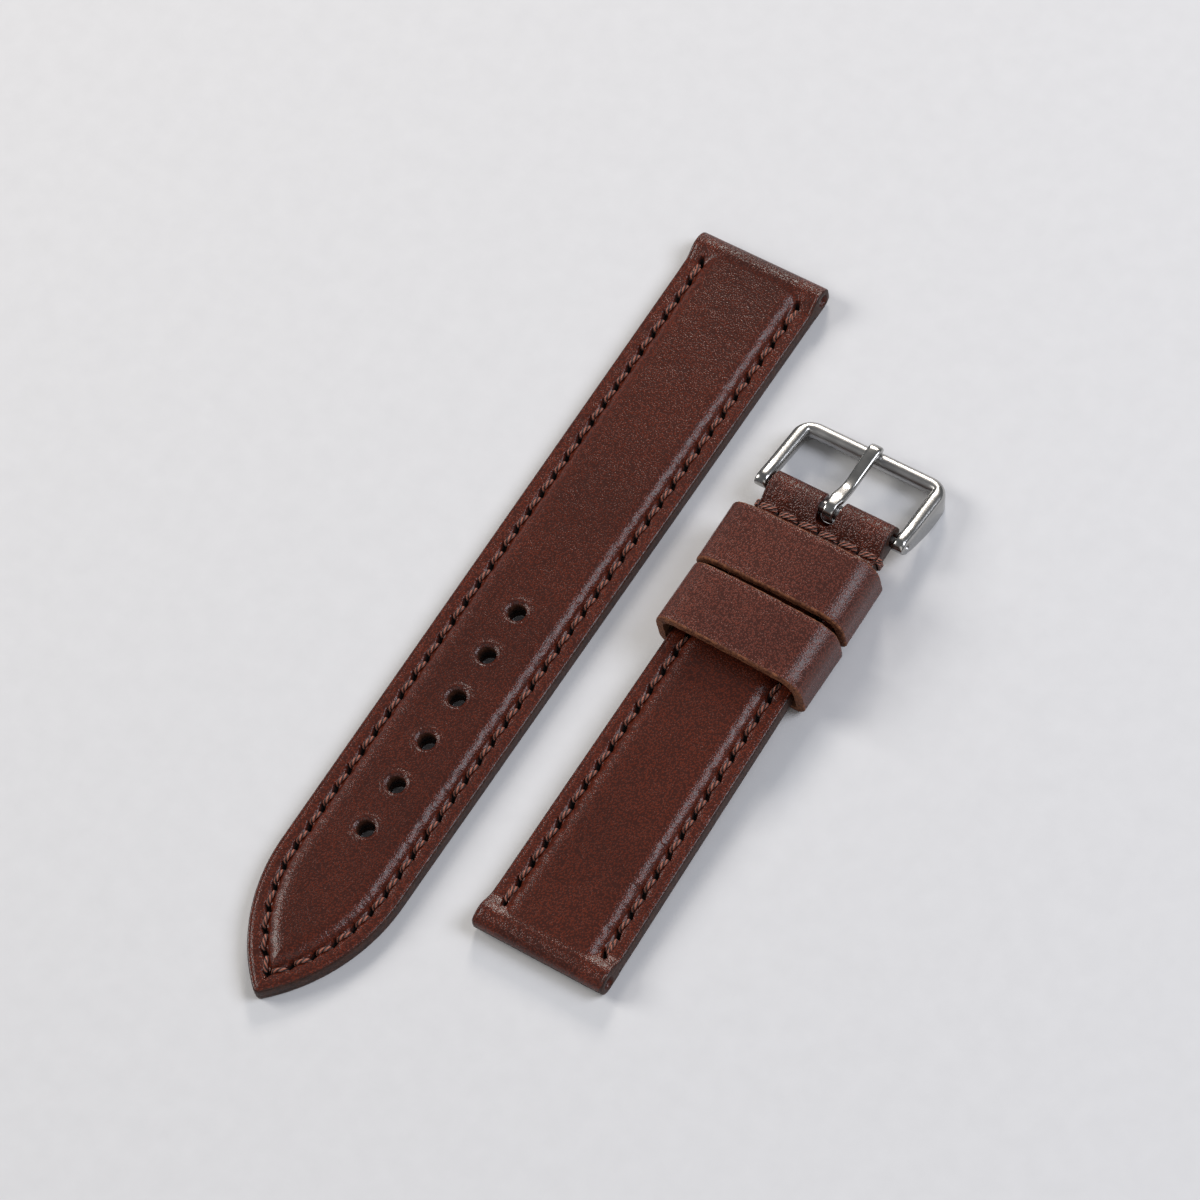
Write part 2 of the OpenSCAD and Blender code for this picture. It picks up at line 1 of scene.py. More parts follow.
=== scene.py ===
"""Looks of a padded leather watch strap, built round its packed construction model."""

import json
import math

import bmesh
import bpy
from mathutils import Matrix, Vector, noise


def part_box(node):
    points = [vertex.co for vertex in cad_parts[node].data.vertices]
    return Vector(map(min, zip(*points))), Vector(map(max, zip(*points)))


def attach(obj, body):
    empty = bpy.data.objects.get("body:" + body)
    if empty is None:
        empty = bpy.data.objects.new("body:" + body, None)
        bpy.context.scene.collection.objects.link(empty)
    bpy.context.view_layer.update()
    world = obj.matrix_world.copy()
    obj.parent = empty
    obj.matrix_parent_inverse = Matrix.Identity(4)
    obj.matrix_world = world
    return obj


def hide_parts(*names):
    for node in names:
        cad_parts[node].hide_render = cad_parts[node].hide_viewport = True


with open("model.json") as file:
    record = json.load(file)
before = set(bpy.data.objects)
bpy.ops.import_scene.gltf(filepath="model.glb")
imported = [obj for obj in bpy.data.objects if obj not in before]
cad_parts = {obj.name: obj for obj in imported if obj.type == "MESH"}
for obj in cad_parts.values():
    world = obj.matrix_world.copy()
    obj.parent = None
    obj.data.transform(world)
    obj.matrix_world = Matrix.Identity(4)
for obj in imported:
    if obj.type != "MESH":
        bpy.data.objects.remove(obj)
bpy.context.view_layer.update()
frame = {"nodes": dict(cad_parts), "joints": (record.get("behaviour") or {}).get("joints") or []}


MM = 0.001
joints = {j["name"]: j for j in frame["joints"]}

# Sizes of the strap in millimetres, as in its construction
LUG_W = 20.0
TAIL_L = 125.0
TAIL_W = 18.8
POINT_L = 20.0
TIP_BLUNT = 0.25
SHORT_L = 75.0
BUCKLE_END_W = 18.4
LINING_T = 0.9
STAY_T = 0.3
COVER_T = 1.1
EDGE_T = LINING_T + STAY_T + COVER_T
CROWN_RISE = 1.1
CROWN_SHOULDER = 2.9
CROWN_FOOT = 0.65
LUG_FOLD_R = 1.75
BUCKLE_FOLD_R = 1.8
BORE_R = 0.95
FOLD_TAPER = 5.4
LINING_SETBACK = 4.1
TURN_IN = 12.0
HOLE_COUNT = 6
HOLE_R = 1.3
HOLE_PITCH = 7.25
LAST_HOLE = 26.0
SLOT_W = 3.2
SLOT_DEPTH = 4.7
STITCH_PITCH = 3.14
STITCH_INSET = 2.3
FIRST_STITCH = 4.7
THREAD_R = 0.28
CROSS_STITCHES = 6
CROSS_SETBACK = 5.5
KEEPER_L = 9.5
KEEPER_T = 1.2
KEEPER_IN_W = 20.4
KEEPER_ROOM = 2.4
KEEPER_DOME = 0.5
FIXED_KEEPER_SETBACK = 8.0
KEEPER_GAP = 1.2
FREE_KEEPER_GAP = 0.3
FRAME_L = 11.7
BAR_R = 1.1
ARM_END_R = 0.9
FRAME_CORNER_R = 3.0
SKIRT_DEPTH = 2.7
SKIRT_END_DEPTH = 0.9
SKIRT_T = 1.0
EAR_R = 1.25
EAR_HOLE_R = 0.5
TONGUE_T = 1.1
TONGUE_LOOP_T = 0.75
TONGUE_EYE_R = 0.95
TONGUE_GAP = 0.08

# Places, from the frame
tail_low, tail_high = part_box("tail_lining")
TAIL_X = (tail_low.x + tail_high.x) / 2 / MM
TAIL_LUG_Y = TAIL_L / 2
hinge = Vector(joints["buckle_hinge"]["pos_m"]) / MM
slide = Vector(joints["keeper_slide"]["axis"])
TILT = math.atan2(-slide.z, -slide.y)
TO_TAIL = Matrix.Translation((TAIL_X, TAIL_LUG_Y, 0)) @ Matrix.Rotation(math.pi, 4, "Z")
TO_SHORT = (
    Matrix.Translation(hinge)
    @ Matrix.Rotation(TILT, 4, "X")
    @ Matrix.Translation((0, BUCKLE_FOLD_R - SHORT_L, -BUCKLE_FOLD_R))
)

# The buckle's skirts have an arched lower edge, and it stands on them
SKIRT_Y = 0.55 * FRAME_L
SKIRT_DROP = SKIRT_DEPTH - SKIRT_END_DEPTH
SKIRT_R = (SKIRT_Y**2 + SKIRT_DROP**2) / (2 * SKIRT_DROP)
SKIRT_Z = SKIRT_R - SKIRT_DEPTH
FRAME_TILT = (math.acos((SKIRT_R - hinge.z) / math.hypot(SKIRT_Y, SKIRT_Z))
              - math.atan2(SKIRT_Y, SKIRT_Z))
TO_FRAME = Matrix.Translation(hinge) @ Matrix.Rotation(-FRAME_TILT, 4, "X")
frame_low, frame_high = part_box("buckle_frame")
FRAME_W = (frame_high.x - frame_low.x) / MM

# The pointed end is two arcs that run on from the sides, joined by a small round tip
POINT_HALF = TAIL_W / 2
POINT_Y = TAIL_L - POINT_L
ARC_REACH = POINT_L + TIP_BLUNT
ARC_R = (ARC_REACH**2 + POINT_HALF**2) / (2 * POINT_HALF)
ARC_X = ARC_R - POINT_HALF
TIP_R = (ARC_REACH**2 - POINT_L**2) / (2 * (ARC_R - POINT_L))
TIP_TURN = math.acos(ARC_X / (ARC_R - TIP_R))


def smooth(t):
    t = min(max(t, 0.0), 1.0)
    return t * t * (3 - 2 * t)


def bell(t):
    return math.exp(-t * t)


def dent(x, shape):
    """A soft dent or ridge across x, whose shape is (depth, place, width)."""
    depth, place, width = shape
    return depth * bell((x - place) / width)


def rounding(r, d):
    """How far an edge rounded with radius r falls back, at d from its outside."""
    return r - math.sqrt(max(r * r - (r - d) ** 2, 0.0)) if d < r else 0.0


def ripple(x, y, z):
    """Smooth noise round 0, the same each run."""
    return noise.noise(Vector((x, y, z)))


# Materials


class Net:
    """Short calls to add and link nodes in one tree."""

    def __init__(self, tree):
        self.tree = tree

    def add(self, kind, settings=None, **links):
        node = self.tree.nodes.new("ShaderNode" + kind)
        for key, value in (settings or {}).items():
            setattr(node, key, value)
        for key, value in links.items():
            self.plug(node.inputs[key], value)
        return node

    def plug(self, socket, value):
        if isinstance(value, bpy.types.NodeSocket):
            self.tree.links.new(value, socket)
        else:
            socket.default_value = value

    def feed(self, node, *values):
        """Fills the node's inputs in their order, and gives its first output."""
        for socket, value in zip(node.inputs, values):
            self.plug(socket, value)
        return node.outputs[0]

    def math(self, operation, *values):
        return self.feed(self.add("Math", {"operation": operation}), *values)

    def ramp(self, value, low, high):
        """A soft step, from 0 at low to 1 at high."""
        node = self.add("MapRange", {"interpolation_type": "SMOOTHSTEP"})
        return self.feed(node, value, low, high)

    def mix(self, factor, a, b):
        node = self.add("Mix", {"data_type": "RGBA"})
        for k, value in ((0, factor), (6, a), (7, b)):
            self.plug(node.inputs[k], value)
        return node.outputs[2]

    def noise(self, vector, scale, detail=3.0, rough=0.55):
        node = self.add("TexNoise", Vector=vector, Scale=scale, Detail=detail, Roughness=rough)
        return node.outputs[0]

    def shade(self, name):
        """A number that the mesh carries on its points."""
        return self.add("Attribute", {"attribute_name": name}).outputs["Fac"]


def rgb(red, green, blue):
    """A colour as written in a paint picker, made linear."""

    def linear(c):
        c /= 255
        return c / 12.92 if c <= 0.04045 else ((c + 0.055) / 1.055) ** 2.4

    return (linear(red), linear(green), linear(blue), 1.0)


def new_group(name, inputs, outputs):
    """A shader group that takes a Vector and numbers with defaults, and gives out numbers."""
    group = bpy.data.node_groups.new(name, "ShaderNodeTree")
    group.interface.new_socket("Vector", in_out="INPUT", socket_type="NodeSocketVector")
    for label, value in inputs.items():
        socket = group.interface.new_socket(label, in_out="INPUT", socket_type="NodeSocketFloat")
        socket.default_value = value
    for label in outputs:
        group.interface.new_socket(label, in_out="OUTPUT", socket_type="NodeSocketFloat")
    inlet, outlet = (group.nodes.new("NodeGroup" + end) for end in ("Input", "Output"))
    return Net(group), inlet.outputs, outlet.inputs


def leather_grain_group():
    """Pores, fine creases and soft unevenness of smooth full-grain leather."""
    net, given, made = new_group(
        "leather_grain", {"Pore": 3000.0, "Crease": 0.5}, ("Height", "Pores", "Mottle"))
    vector = given["Vector"]
    warp = net.add("TexNoise", Vector=vector, Scale=900.0, Detail=2.0)
    shift = net.add("VectorMath", {"operation": "MULTIPLY_ADD"})
    shifted = net.feed(shift, warp.outputs["Color"], (0.4 * MM, 0.4 * MM, 0.4 * MM), vector)
    cells = net.add("TexVoronoi", Vector=shifted, Scale=given["Pore"])
    pebble = net.math("SUBTRACT", 1.0, net.ramp(cells.outputs["Distance"], 0.05, 0.75))
    height = net.math("MULTIPLY", pebble, given["Crease"])
    for scale, detail, share in ((6200.0, 2.0, 0.45), (420.0, 4.0, 0.5)):
        height = net.math("MULTIPLY_ADD", net.noise(vector, scale, detail), share, height)
    net.plug(made["Height"], height)
    net.plug(made["Pores"], net.ramp(pebble, 0.75, 0.1))
    net.plug(made["Mottle"], net.noise(vector, 75.0, 4.0, 0.5))
    return net.tree


def fibre_group():
    """Torn fibres of a cut leather edge."""
    net, given, made = new_group("edge_fibres", {}, ("Height", "Tone"))
    coarse = net.noise(given["Vector"], 1800.0, 6.0, 0.7)
    fine = net.noise(given["Vector"], 6500.0)
    net.plug(made["Height"], net.math("MULTIPLY_ADD", fine, 0.4, coarse))
    net.plug(made["Tone"], net.ramp(coarse, 0.35, 0.7))
    return net.tree


GRAIN = leather_grain_group()
FIBRES = fibre_group()
PORE_TONE = rgb(34, 12, 8)
EDGE_TONE = rgb(34, 18, 13)
# Stitch holes: dark wax, darkened further as painted shade down in the holes
HOLE_WAX_AND_SHADE_TONE = rgb(10, 5, 4)
WORN_STEEL_TONE = rgb(186, 185, 183)
# The thread's plies, and its length between neighbouring ones in millimetres
PLIES = 3.0
PLY_PITCH = 0.75


def new_material(name):
    """A material with its net, its shader's sockets and the place on the object."""
    material = bpy.data.materials.new(name)
    material.use_nodes = True
    net = Net(material.node_tree)
    shader = next(n for n in material.node_tree.nodes if n.type == "BSDF_PRINCIPLED")
    return material, net, shader.inputs, net.add("TexCoord").outputs["Object"]


def add_bump(net, shader, height, strength, distance):
    bump = net.add("Bump", Strength=strength, Distance=distance * MM, Height=height)
    net.plug(shader["Normal"], bump.outputs[0])


def use_group(net, group, **links):
    """The outputs of a group, fed with the links."""
    node = net.add("Group", {"node_tree": group}, **links)
    return node.outputs


def leather(name, deep, mid, warm_and_glow, pore, crease, bump, rough):
    """Dyed full-grain leather: warmer towards the margins and dark in the stitch holes."""
    material, net, shader, place = new_material(name)
    grain = use_group(net, GRAIN, Vector=place, Pore=pore, Crease=crease)
    pit = net.shade("pit")
    colour = net.mix(net.ramp(grain["Mottle"], 0.3, 0.72), deep, mid)
    for factor, tone in ((net.math("MULTIPLY", net.shade("margin"), 0.55), warm_and_glow),
                         (net.math("MULTIPLY", grain["Pores"], 0.72), PORE_TONE),
                         (net.shade("edge"), EDGE_TONE),
                         (pit, HOLE_WAX_AND_SHADE_TONE)):
        colour = net.mix(factor, colour, tone)
    # The stitch holes are dark with wax and painted shade, the margins warm with a painted glow
    net.plug(shader["Base Color"], colour)
    uneven = net.math("MULTIPLY_ADD", grain["Height"], -0.1, rough + 0.07)
    net.plug(shader["Roughness"], net.math("MULTIPLY_ADD", pit, 0.5, uneven))
    net.plug(shader["Specular IOR Level"], 0.38)
    wrinkle = net.math("MULTIPLY_ADD", net.shade("wear_and_ply_highlight"), 2.6, 1.0)
    add_bump(net, shader, net.math("MULTIPLY", grain["Height"], wrinkle), bump, 0.05)
    return material


def raw_edge(name, dark, pale, rough=0.75):
    """A cut edge: fibres, darker where it is burnished."""
    material, net, shader, place = new_material(name)
    fibres = use_group(net, FIBRES, Vector=place)
    net.plug(shader["Base Color"], net.mix(fibres["Tone"], dark, pale))
    net.plug(shader["Roughness"], rough)
    net.plug(shader["Specular IOR Level"], 0.25)
    add_bump(net, shader, fibres["Height"], 0.5, 0.12)
    return material


def thread_material():
    """Waxed three-ply thread: painted shade between plies, painted highlight on their backs."""
    material, net, shader, place = new_material("sewing_thread")
    turn = net.math("ARCTAN2", net.shade("turn_y"), net.shade("turn_x"))
    twist = net.math("MULTIPLY", net.shade("run"), 2 * math.pi / PLY_PITCH)
    phase = net.math("SUBTRACT", net.math("MULTIPLY", turn, PLIES), twist)
    ply = net.math("MULTIPLY_ADD", net.math("COSINE", phase), 0.5, 0.5)
    fuzz = net.math("ADD", net.noise(place, 5200.0), 0.45)
    # Painted highlight on the plies' backs and painted shade between them, broken up by fuzz
    wear_and_ply_highlight = net.ramp(net.math("MULTIPLY", ply, fuzz), 0.12, 0.85)
    net.plug(shader["Base Color"], net.mix(wear_and_ply_highlight, rgb(36, 15, 11), rgb(166, 95, 71)))
    net.plug(shader["Roughness"], 0.55)
    net.plug(shader["Sheen Weight"], 0.15)
    add_bump(net, shader, ply, 1.0, 0.18)
    return material


def steel(name, tone, rough, brush):
    """Steel with fine brush lines along X, or polished where brush is small."""
    material, net, shader, place = new_material(name)
    stretch = net.add("Mapping", Vector=place, Scale=(60.0, 5200.0, 5200.0))
    smear = net.noise(place, 420.0)
    net.plug(shader["Base Color"], net.mix(smear, tone, WORN_STEEL_TONE))
    net.plug(shader["Metallic"], 1.0)
    net.plug(shader["Roughness"], net.math("MULTIPLY_ADD", smear, 0.14, rough - 0.05))
    add_bump(net, shader, net.noise(stretch.outputs[0], 1.0), brush, 0.03)
    return material


def cloth(name, dark, pale):
    """Felt or woven tape inside the strap."""
    material, net, shader, place = new_material(name)
    tone = net.noise(place, 2600.0, 5.0, 0.7)
    net.plug(shader["Base Color"], net.mix(tone, dark, pale))
    net.plug(shader["Roughness"], 0.9)
    add_bump(net, shader, tone, 0.6, 0.2)
    return material


COVER = leather("cover_leather", rgb(80, 31, 17), rgb(94, 38, 22), rgb(128, 49, 25),
                4000.0, 1.0, 0.48, 0.3)
KEEPER = leather("keeper_leather", rgb(97, 47, 36), rgb(110, 56, 43), rgb(120, 58, 41),
                 4200.0, 1.0, 0.5, 0.32)
LINING = leather("lining_leather", rgb(128, 82, 58), rgb(150, 100, 72), rgb(140, 88, 62),
                 2300.0, 0.6, 0.5, 0.62)
BURNISHED = raw_edge("burnished_edge", rgb(38, 19, 12), rgb(72, 42, 29), 0.45)
RAW = raw_edge("raw_edge", rgb(72, 38, 26), rgb(142, 90, 60))
SUEDE = raw_edge("flesh_side", rgb(92, 58, 42), rgb(134, 90, 64), 0.9)
THREAD = thread_material()
FELT = cloth("pad_felt", rgb(150, 142, 126), rgb(196, 188, 170))
TAPE = cloth("stay_tape", rgb(40, 24, 18), rgb(64, 42, 32))
STEEL_BRUSHED = steel("brushed_steel", rgb(152, 150, 149), 0.3, 0.3)
STEEL_POLISHED = steel("polished_steel", rgb(160, 159, 156), 0.2, 0.08)
STEEL_TURNED = steel("turned_steel", rgb(168, 168, 168), 0.34, 0.3)


# Meshes: a grid whose points are put in place by a rule

SKIN_SHADES = ("margin", "pit", "edge", "wear_and_ply_highlight")
THREAD_SHADES = ("turn_x", "turn_y", "run")
NO_SHADE = (0.0, 0.0, 0.0, 0.0)


def mapped_grid(columns, rows, place, material_at=None, shades=SKIN_SHADES):
    """A bmesh grid: place(i, j) gives a point's spot and shades, material_at(i, j) a face's."""
    bm = bmesh.new()
    bmesh.ops.create_grid(bm, x_segments=columns - 1, y_segments=rows - 1, size=1.0)
    layers = [bm.verts.layers.float.new(name) for name in shades]
    for v in bm.verts:
        i = round((v.co.x + 1) / 2 * (columns - 1))
        j = round((v.co.y + 1) / 2 * (rows - 1))
        v.index = j * columns + i
    if material_at:
        for f in bm.faces:
            places = [(v.index % columns, v.index // columns) for v in f.verts]
            f.material_index = material_at(*min(places))
    for v in bm.verts:
        spot, values = place(v.index % columns, v.index // columns)
        v.co = spot
        for layer, value in zip(layers, values):
            v[layer] = value
    return bm


def close_up(bm):
    """Fills the open ends and faces outwards."""
    open_edges = [e for e in bm.edges if e.is_boundary]
    if open_edges:
        bmesh.ops.holes_fill(bm, edges=open_edges, sides=0)
    bmesh.ops.recalc_face_normals(bm, faces=bm.faces)


def add_object(name, data):
    thing = bpy.data.objects.new(name, data)
    bpy.context.scene.collection.objects.link(thing)
    return thing


def to_object(bm, name, materials, to_world):
    """Makes an object of bm, which is drawn in millimetres, in the frame's metres."""
    bmesh.ops.transform(bm, matrix=Matrix.Scale(MM, 4) @ to_world, verts=bm.verts)
    for f in bm.faces:
        f.smooth = True
    mesh = bpy.data.meshes.new(name)
    bm.to_mesh(mesh)
    bm.free()
    for material in materials:
        mesh.materials.append(material)
    return add_object(name, mesh)


def finish_mesh(bm, name, materials, to_world, merge=0.002, smooth_angle=38):
    """Closes a mapped grid's seams and makes the piece."""
    bmesh.ops.remove_doubles(bm, verts=bm.verts, dist=merge)
    bmesh.ops.dissolve_degenerate(bm, edges=bm.edges, dist=merge / 4)
    close_up(bm)
    piece = to_object(bm, name, materials, to_world)
    piece.data.set_sharp_from_angle(angle=math.radians(smooth_angle))
    return piece


def cut(piece, *cutters):
    """Takes the cutters out of the piece, and leaves the cut faces in the cutters' material."""
    for cutter in cutters:
        modifier = piece.modifiers.new("cut", "BOOLEAN")
        modifier.operation = "DIFFERENCE"
        modifier.solver = "MANIFOLD"
        modifier.object = cutter
    depsgraph = bpy.context.evaluated_depsgraph_get()
    mesh = bpy.data.meshes.new_from_object(piece.evaluated_get(depsgraph))
    piece.modifiers.clear()
    old = piece.data
    piece.data = mesh
    bpy.data.meshes.remove(old)
    for cutter in cutters:
        bpy.data.objects.remove(cutter)


# Turns the holes' facets off the grid's lines, so that no edges meet
FACET_TURN = 0.0371


def rod_cutter(name, material, to_world, spots, r, length, along_x):
    """Round cutters at the spots, along X or Z."""
    bm = bmesh.new()
    turn = Matrix.Rotation(math.pi / 2, 4, "Y") if along_x else Matrix.Rotation(FACET_TURN, 4, "Z")
    for spot in spots:
        bmesh.ops.create_cone(bm, cap_ends=True, segments=56, radius1=r, radius2=r, depth=length,
                              matrix=Matrix.Translation(spot) @ turn)
    bmesh.ops.recalc_face_normals(bm, faces=bm.faces)
    return to_object(bm, name, [material], to_world)


# The strap's surface

LUG_CORNER_R = 0.5
# A fold's top lies this many radii from its outside
FOLD_LEAN = 1.3


def tail_half(y):
    return LUG_W / 2 + (TAIL_W - LUG_W) / 2 * y / POINT_Y


def short_half(y):
    return LUG_W / 2 + (BUCKLE_END_W - LUG_W) / 2 * y / SHORT_L


def tail_outline(s):
    """Edge point, inward direction and depth to the middle, at s along the long half's side."""
    if s <= POINT_Y:
        half = tail_half(max(s, 0.0)) - rounding(LUG_CORNER_R, s)
        return (half, s), (-1.0, 0.0), half
    a = (s - POINT_Y) / ARC_R
    if a <= TIP_TURN:
        spot = (ARC_R * math.cos(a) - ARC_X, POINT_Y + ARC_R * math.sin(a))
        depth = ARC_R - ARC_X / math.cos(a)
    else:
        a = min(TIP_TURN + (a - TIP_TURN) * ARC_R / TIP_R, math.pi / 2)
        spot = (TIP_R * math.cos(a), TAIL_L - TIP_R + TIP_R * math.sin(a))
        depth = TIP_R
    return spot, (-math.cos(a), -math.sin(a)), depth


def short_outline(s):
    half = short_half(s) - rounding(LUG_CORNER_R, s)
    return (half, s), (-1.0, 0.0), half


EDGE_L = POINT_Y + ARC_R * TIP_TURN + TIP_R * (math.pi / 2 - TIP_TURN)
ROW_ARC_R = ARC_R - STITCH_INSET
ROW_STRAIGHT = POINT_Y - FIRST_STITCH
ROW_L = ROW_STRAIGHT + ROW_ARC_R * math.acos(ARC_X / ROW_ARC_R)
ROW_COUNT = round(ROW_L / STITCH_PITCH)
SHORT_ROW_END = SHORT_L - FIXED_KEEPER_SETBACK - KEEPER_L / 2
SHORT_ROW_COUNT = int((SHORT_ROW_END - FIRST_STITCH) / STITCH_PITCH)


def row_to_edge(s):
    """The place along the edge beside a place along the stitch row."""
    if s <= POINT_Y:
        return s
    return POINT_Y + (s - POINT_Y) / ROW_ARC_R * ARC_R


TAIL_STITCHES = [row_to_edge(FIRST_STITCH + i * ROW_L / ROW_COUNT) for i in range(ROW_COUNT + 1)]
SHORT_STITCHES = [FIRST_STITCH + i * STITCH_PITCH for i in range(SHORT_ROW_COUNT + 1)]
HOLE_YS = [TAIL_L - LAST_HOLE - i * HOLE_PITCH for i in range(HOLE_COUNT)]
CROSS_Y = SHORT_L - CROSS_SETBACK

EDGE_ROUND = 0.34
# The covers stand this far proud of the stay tape's edge, as the edge paint does
PROUD = 0.02
# The line between cover and lining on the side wall is this deep
LAYER_LINE = 0.07
# The stitch holes are slits, punched at this angle to the row
SLIT_TURN = math.radians(21)
SLIT_L = 1.35
SLIT_REACH = 0.9
SLIT_HALF_W = 0.43
SLIT_DEPTH = 0.85
# A slit's sides slope over these widths, at its ends and along it
SLIT_END_SLOPE = 0.36
SLIT_SIDE_SLOPE = 0.28
# The stitches pull the leather down this far past the row's ends, and near each hole
ROW_OVERRUN = 1.4
HOLE_NEAR = 1.6
MARGIN_SWELL = 0.06
# A skin is inside a stitch hole where its pit shade is more than this
IN_HOLE = 0.05
# Dents and ridges, as (depth, place, width)
TOOL_LINE = (0.06, EDGE_ROUND + 0.13, 0.1)
ROW_GROOVE = (0.2, 0.0, 0.4)
PLEATS = (0.065, 0.9, 0.6)
PULLED_IN = (1.0, 0.75, 0.5)
PULLED_OUT = (0.06, -0.7, 0.45)
PUNCH_SINK = (0.24, 0.0, 0.2)
PUNCH_RIM = (1.0, 0.5, 0.3)
PUNCH_NEAR = 1.2
CROSS_GROOVE = (0.35, 0.0, 0.7)
CROSS_HOLE = (0.6, -0.12, 0.3)
CROSS_END = (0.35, 0.0, 0.5)


def edge_drop(d):
    """How much lower the rounded edge is, with the faint line that the edge tool left."""
    return dent(d, TOOL_LINE) + rounding(EDGE_ROUND, d)


def crown(d):
    """How far the padding lifts the cover."""
    e = (d - STITCH_INSET - 0.5 * CROWN_FOOT) / CROWN_SHOULDER
    e = min(max(e, 0.0), 1.0)
    return CROWN_RISE * (1 - (1 - e) ** 3.2) * smooth(e * 6)


def nearest(values, s):
    return min(values, key=lambda v: abs(v - s))


def fold_height(r, y):
    """Top of a fold of radius r, at y from its outside, down to the flat margins."""
    top_y = FOLD_LEAN * r
    if y <= top_y:
        return r + r * math.sqrt(max(1 - (1 - y / top_y) ** 2, 0.0))
    return 2 * r - (2 * r - EDGE_T) * smooth((y - top_y) / (FOLD_TAPER - top_y))


def soft_max(a, b, k=0.25):
    h = max(k - abs(a - b), 0.0) / k
    return max(a, b) + h * h * k / 4


def stitched_surface(d, s, x, y, stitches, side):
    """Height of the cover at depth d from the edge, and how deep in a stitch hole that is."""
    z = EDGE_T + MARGIN_SWELL * math.sin(math.pi * min(d / STITCH_INSET, 1.0))
    z += crown(d) * (1 + 0.03 * ripple(x * 0.3, y * 0.3, 0.4))
    within = (smooth((s - stitches[0] + ROW_OVERRUN) / 1.2)
              * smooth((stitches[-1] + ROW_OVERRUN - s) / 1.2))
    across = d - STITCH_INSET
    z -= dent(across, ROW_GROOVE) * within
    if across > 0.3:
        pull = ripple(s * 1.9, side * 5.0, 1.5) + ripple(s * 4.6, side * 5.0, d * 0.4)
        z += pull * dent(across, PLEATS) * within
    hole = nearest(stitches, s)
    along = s - hole
    if abs(along) >= HOLE_NEAR or abs(across) >= HOLE_NEAR:
        return z, 0.0
    jitter = ripple(hole * 3.1, side * 7.7, 0.5)
    u = along * math.cos(SLIT_TURN) + side * across * math.sin(SLIT_TURN)
    v = across * math.cos(SLIT_TURN) - side * along * math.sin(SLIT_TURN)
    reach = SLIT_REACH + 0.14 * jitter
    deep = (smooth((reach - abs(u)) / SLIT_END_SLOPE)
            * smooth((SLIT_HALF_W - abs(v)) / SLIT_SIDE_SLOPE))
    z -= (SLIT_DEPTH + 0.2 * jitter) * deep
    z -= (0.17 + 0.06 * jitter) * bell(along / 0.8) * dent(across, PULLED_IN)
    z -= dent(across, PULLED_OUT) * bell(along / 0.7)
    return z, smooth(deep * 1.6)


def punched(x, y, z):
    """Lowers the surface round the punched holes, inside a puckered rim."""
    from_hole = y - nearest(HOLE_YS, y)
    gap = math.hypot(x, from_hole) - HOLE_R
    if gap > PUNCH_NEAR:
        return z
    around = math.atan2(from_hole, x)
    pucker = ripple(math.cos(around) * 4, math.sin(around) * 4, y * 0.1)
    z -= dent(max(gap, 0.0), PUNCH_SINK)
    return z + (0.08 + 0.07 * pucker) * dent(gap, PUNCH_RIM)


def joined_fold(z, wedge, y, r):
    """Lets the padded middle run into the top of a fold of radius r, at y from its outside."""
    return wedge + (soft_max(z, wedge) - wedge) * smooth((y - r + 0.4) / 0.8)


def lug_fold(z, pit, y):
    """Joins the surface to the fold at the lug end."""
    wedge = fold_height(LUG_FOLD_R, y)
    return joined_fold(z, wedge, y, LUG_FOLD_R) if pit < IN_HOLE else z + wedge - EDGE_T


def tail_top(d, s, x, y, side):
    z, pit = stitched_surface(d, s, x, y, TAIL_STITCHES, side)
    z = punched(x, y, z)
    return lug_fold(z, pit, y) if y < FOLD_TAPER + 1 else z, pit


PAD_END = SHORT_L - TURN_IN + COVER_T


def short_top(d, s, x, y, side):
    z, pit = stitched_surface(d, s, x, y, SHORT_STITCHES, side)
    z -= crown(d) * smooth((y - PAD_END + 2.5) / 3.5)
    back = SHORT_L - y
    if y < FOLD_TAPER + 1:
        return lug_fold(z, pit, y), pit
    if back >= FOLD_TAPER + 3:
        return z, pit
    across = y - CROSS_Y
    z -= dent(across, CROSS_GROOVE)
    half = short_half(CROSS_Y)
    pitch = 2 * half / CROSS_STITCHES
    k = round((x + half) / pitch)
    along = x + half - k * pitch
    if 0 < k < CROSS_STITCHES:
        deep = bell(along / 0.42) * dent(across, CROSS_HOLE)
        z -= deep
        pit = min(deep * 2.5, 1.0)
    else:
        z -= bell(along / 0.7) * dent(across, CROSS_END)
    if pit < IN_HOLE:
        wedge = fold_height(BUCKLE_FOLD_R, back) - dent(across, CROSS_GROOVE)
        z = joined_fold(z, wedge, back, BUCKLE_FOLD_R)
    return z, pit


FOLD_ROWS = 12


def fold_rows(r):
    """Places along a fold, close together where it turns."""
    turn = range(1, FOLD_ROWS)
    return [0.0015] + [r * (1 - math.cos(math.pi / 2 * k / FOLD_ROWS)) for k in turn]


def even(start, end, step):
    count = max(round((end - start) / step), 1)
    return [start + (end - start) * k / count for k in range(count + 1)]


EDGE_DEPTHS = [0.0, 0.03, 0.09, 0.17, 0.26, 0.35, 0.43, 0.5, 0.62, 0.9, 1.2, 1.45, 1.62, 1.75,
               1.86, 1.96, 2.05, 2.14, 2.22, 2.3, 2.38, 2.46, 2.55, 2.64, 2.74, 2.85, 2.98, 3.14,
               3.34, 3.6, 3.9, 4.3, 4.8, 5.4, 6.1, 7.0]
MIDDLE_STEPS = 13


def depths(half):
    """Depths from the edge to the middle line, drawn together where the strap is narrow."""
    places = [min(d, half) for d in EDGE_DEPTHS]
    rest = max(half - EDGE_DEPTHS[-1], 0.0)
    start = places[-1]
    return places + [start + rest * (k + 1) / MIDDLE_STEPS for k in range(MIDDLE_STEPS)]


SIDE_COLUMNS = len(EDGE_DEPTHS) + MIDDLE_STEPS
UNDER_COLUMNS = 5
# Shares of a wall's height at which its points lie
WALL_SHARES = (0.0, 0.07, 0.5)
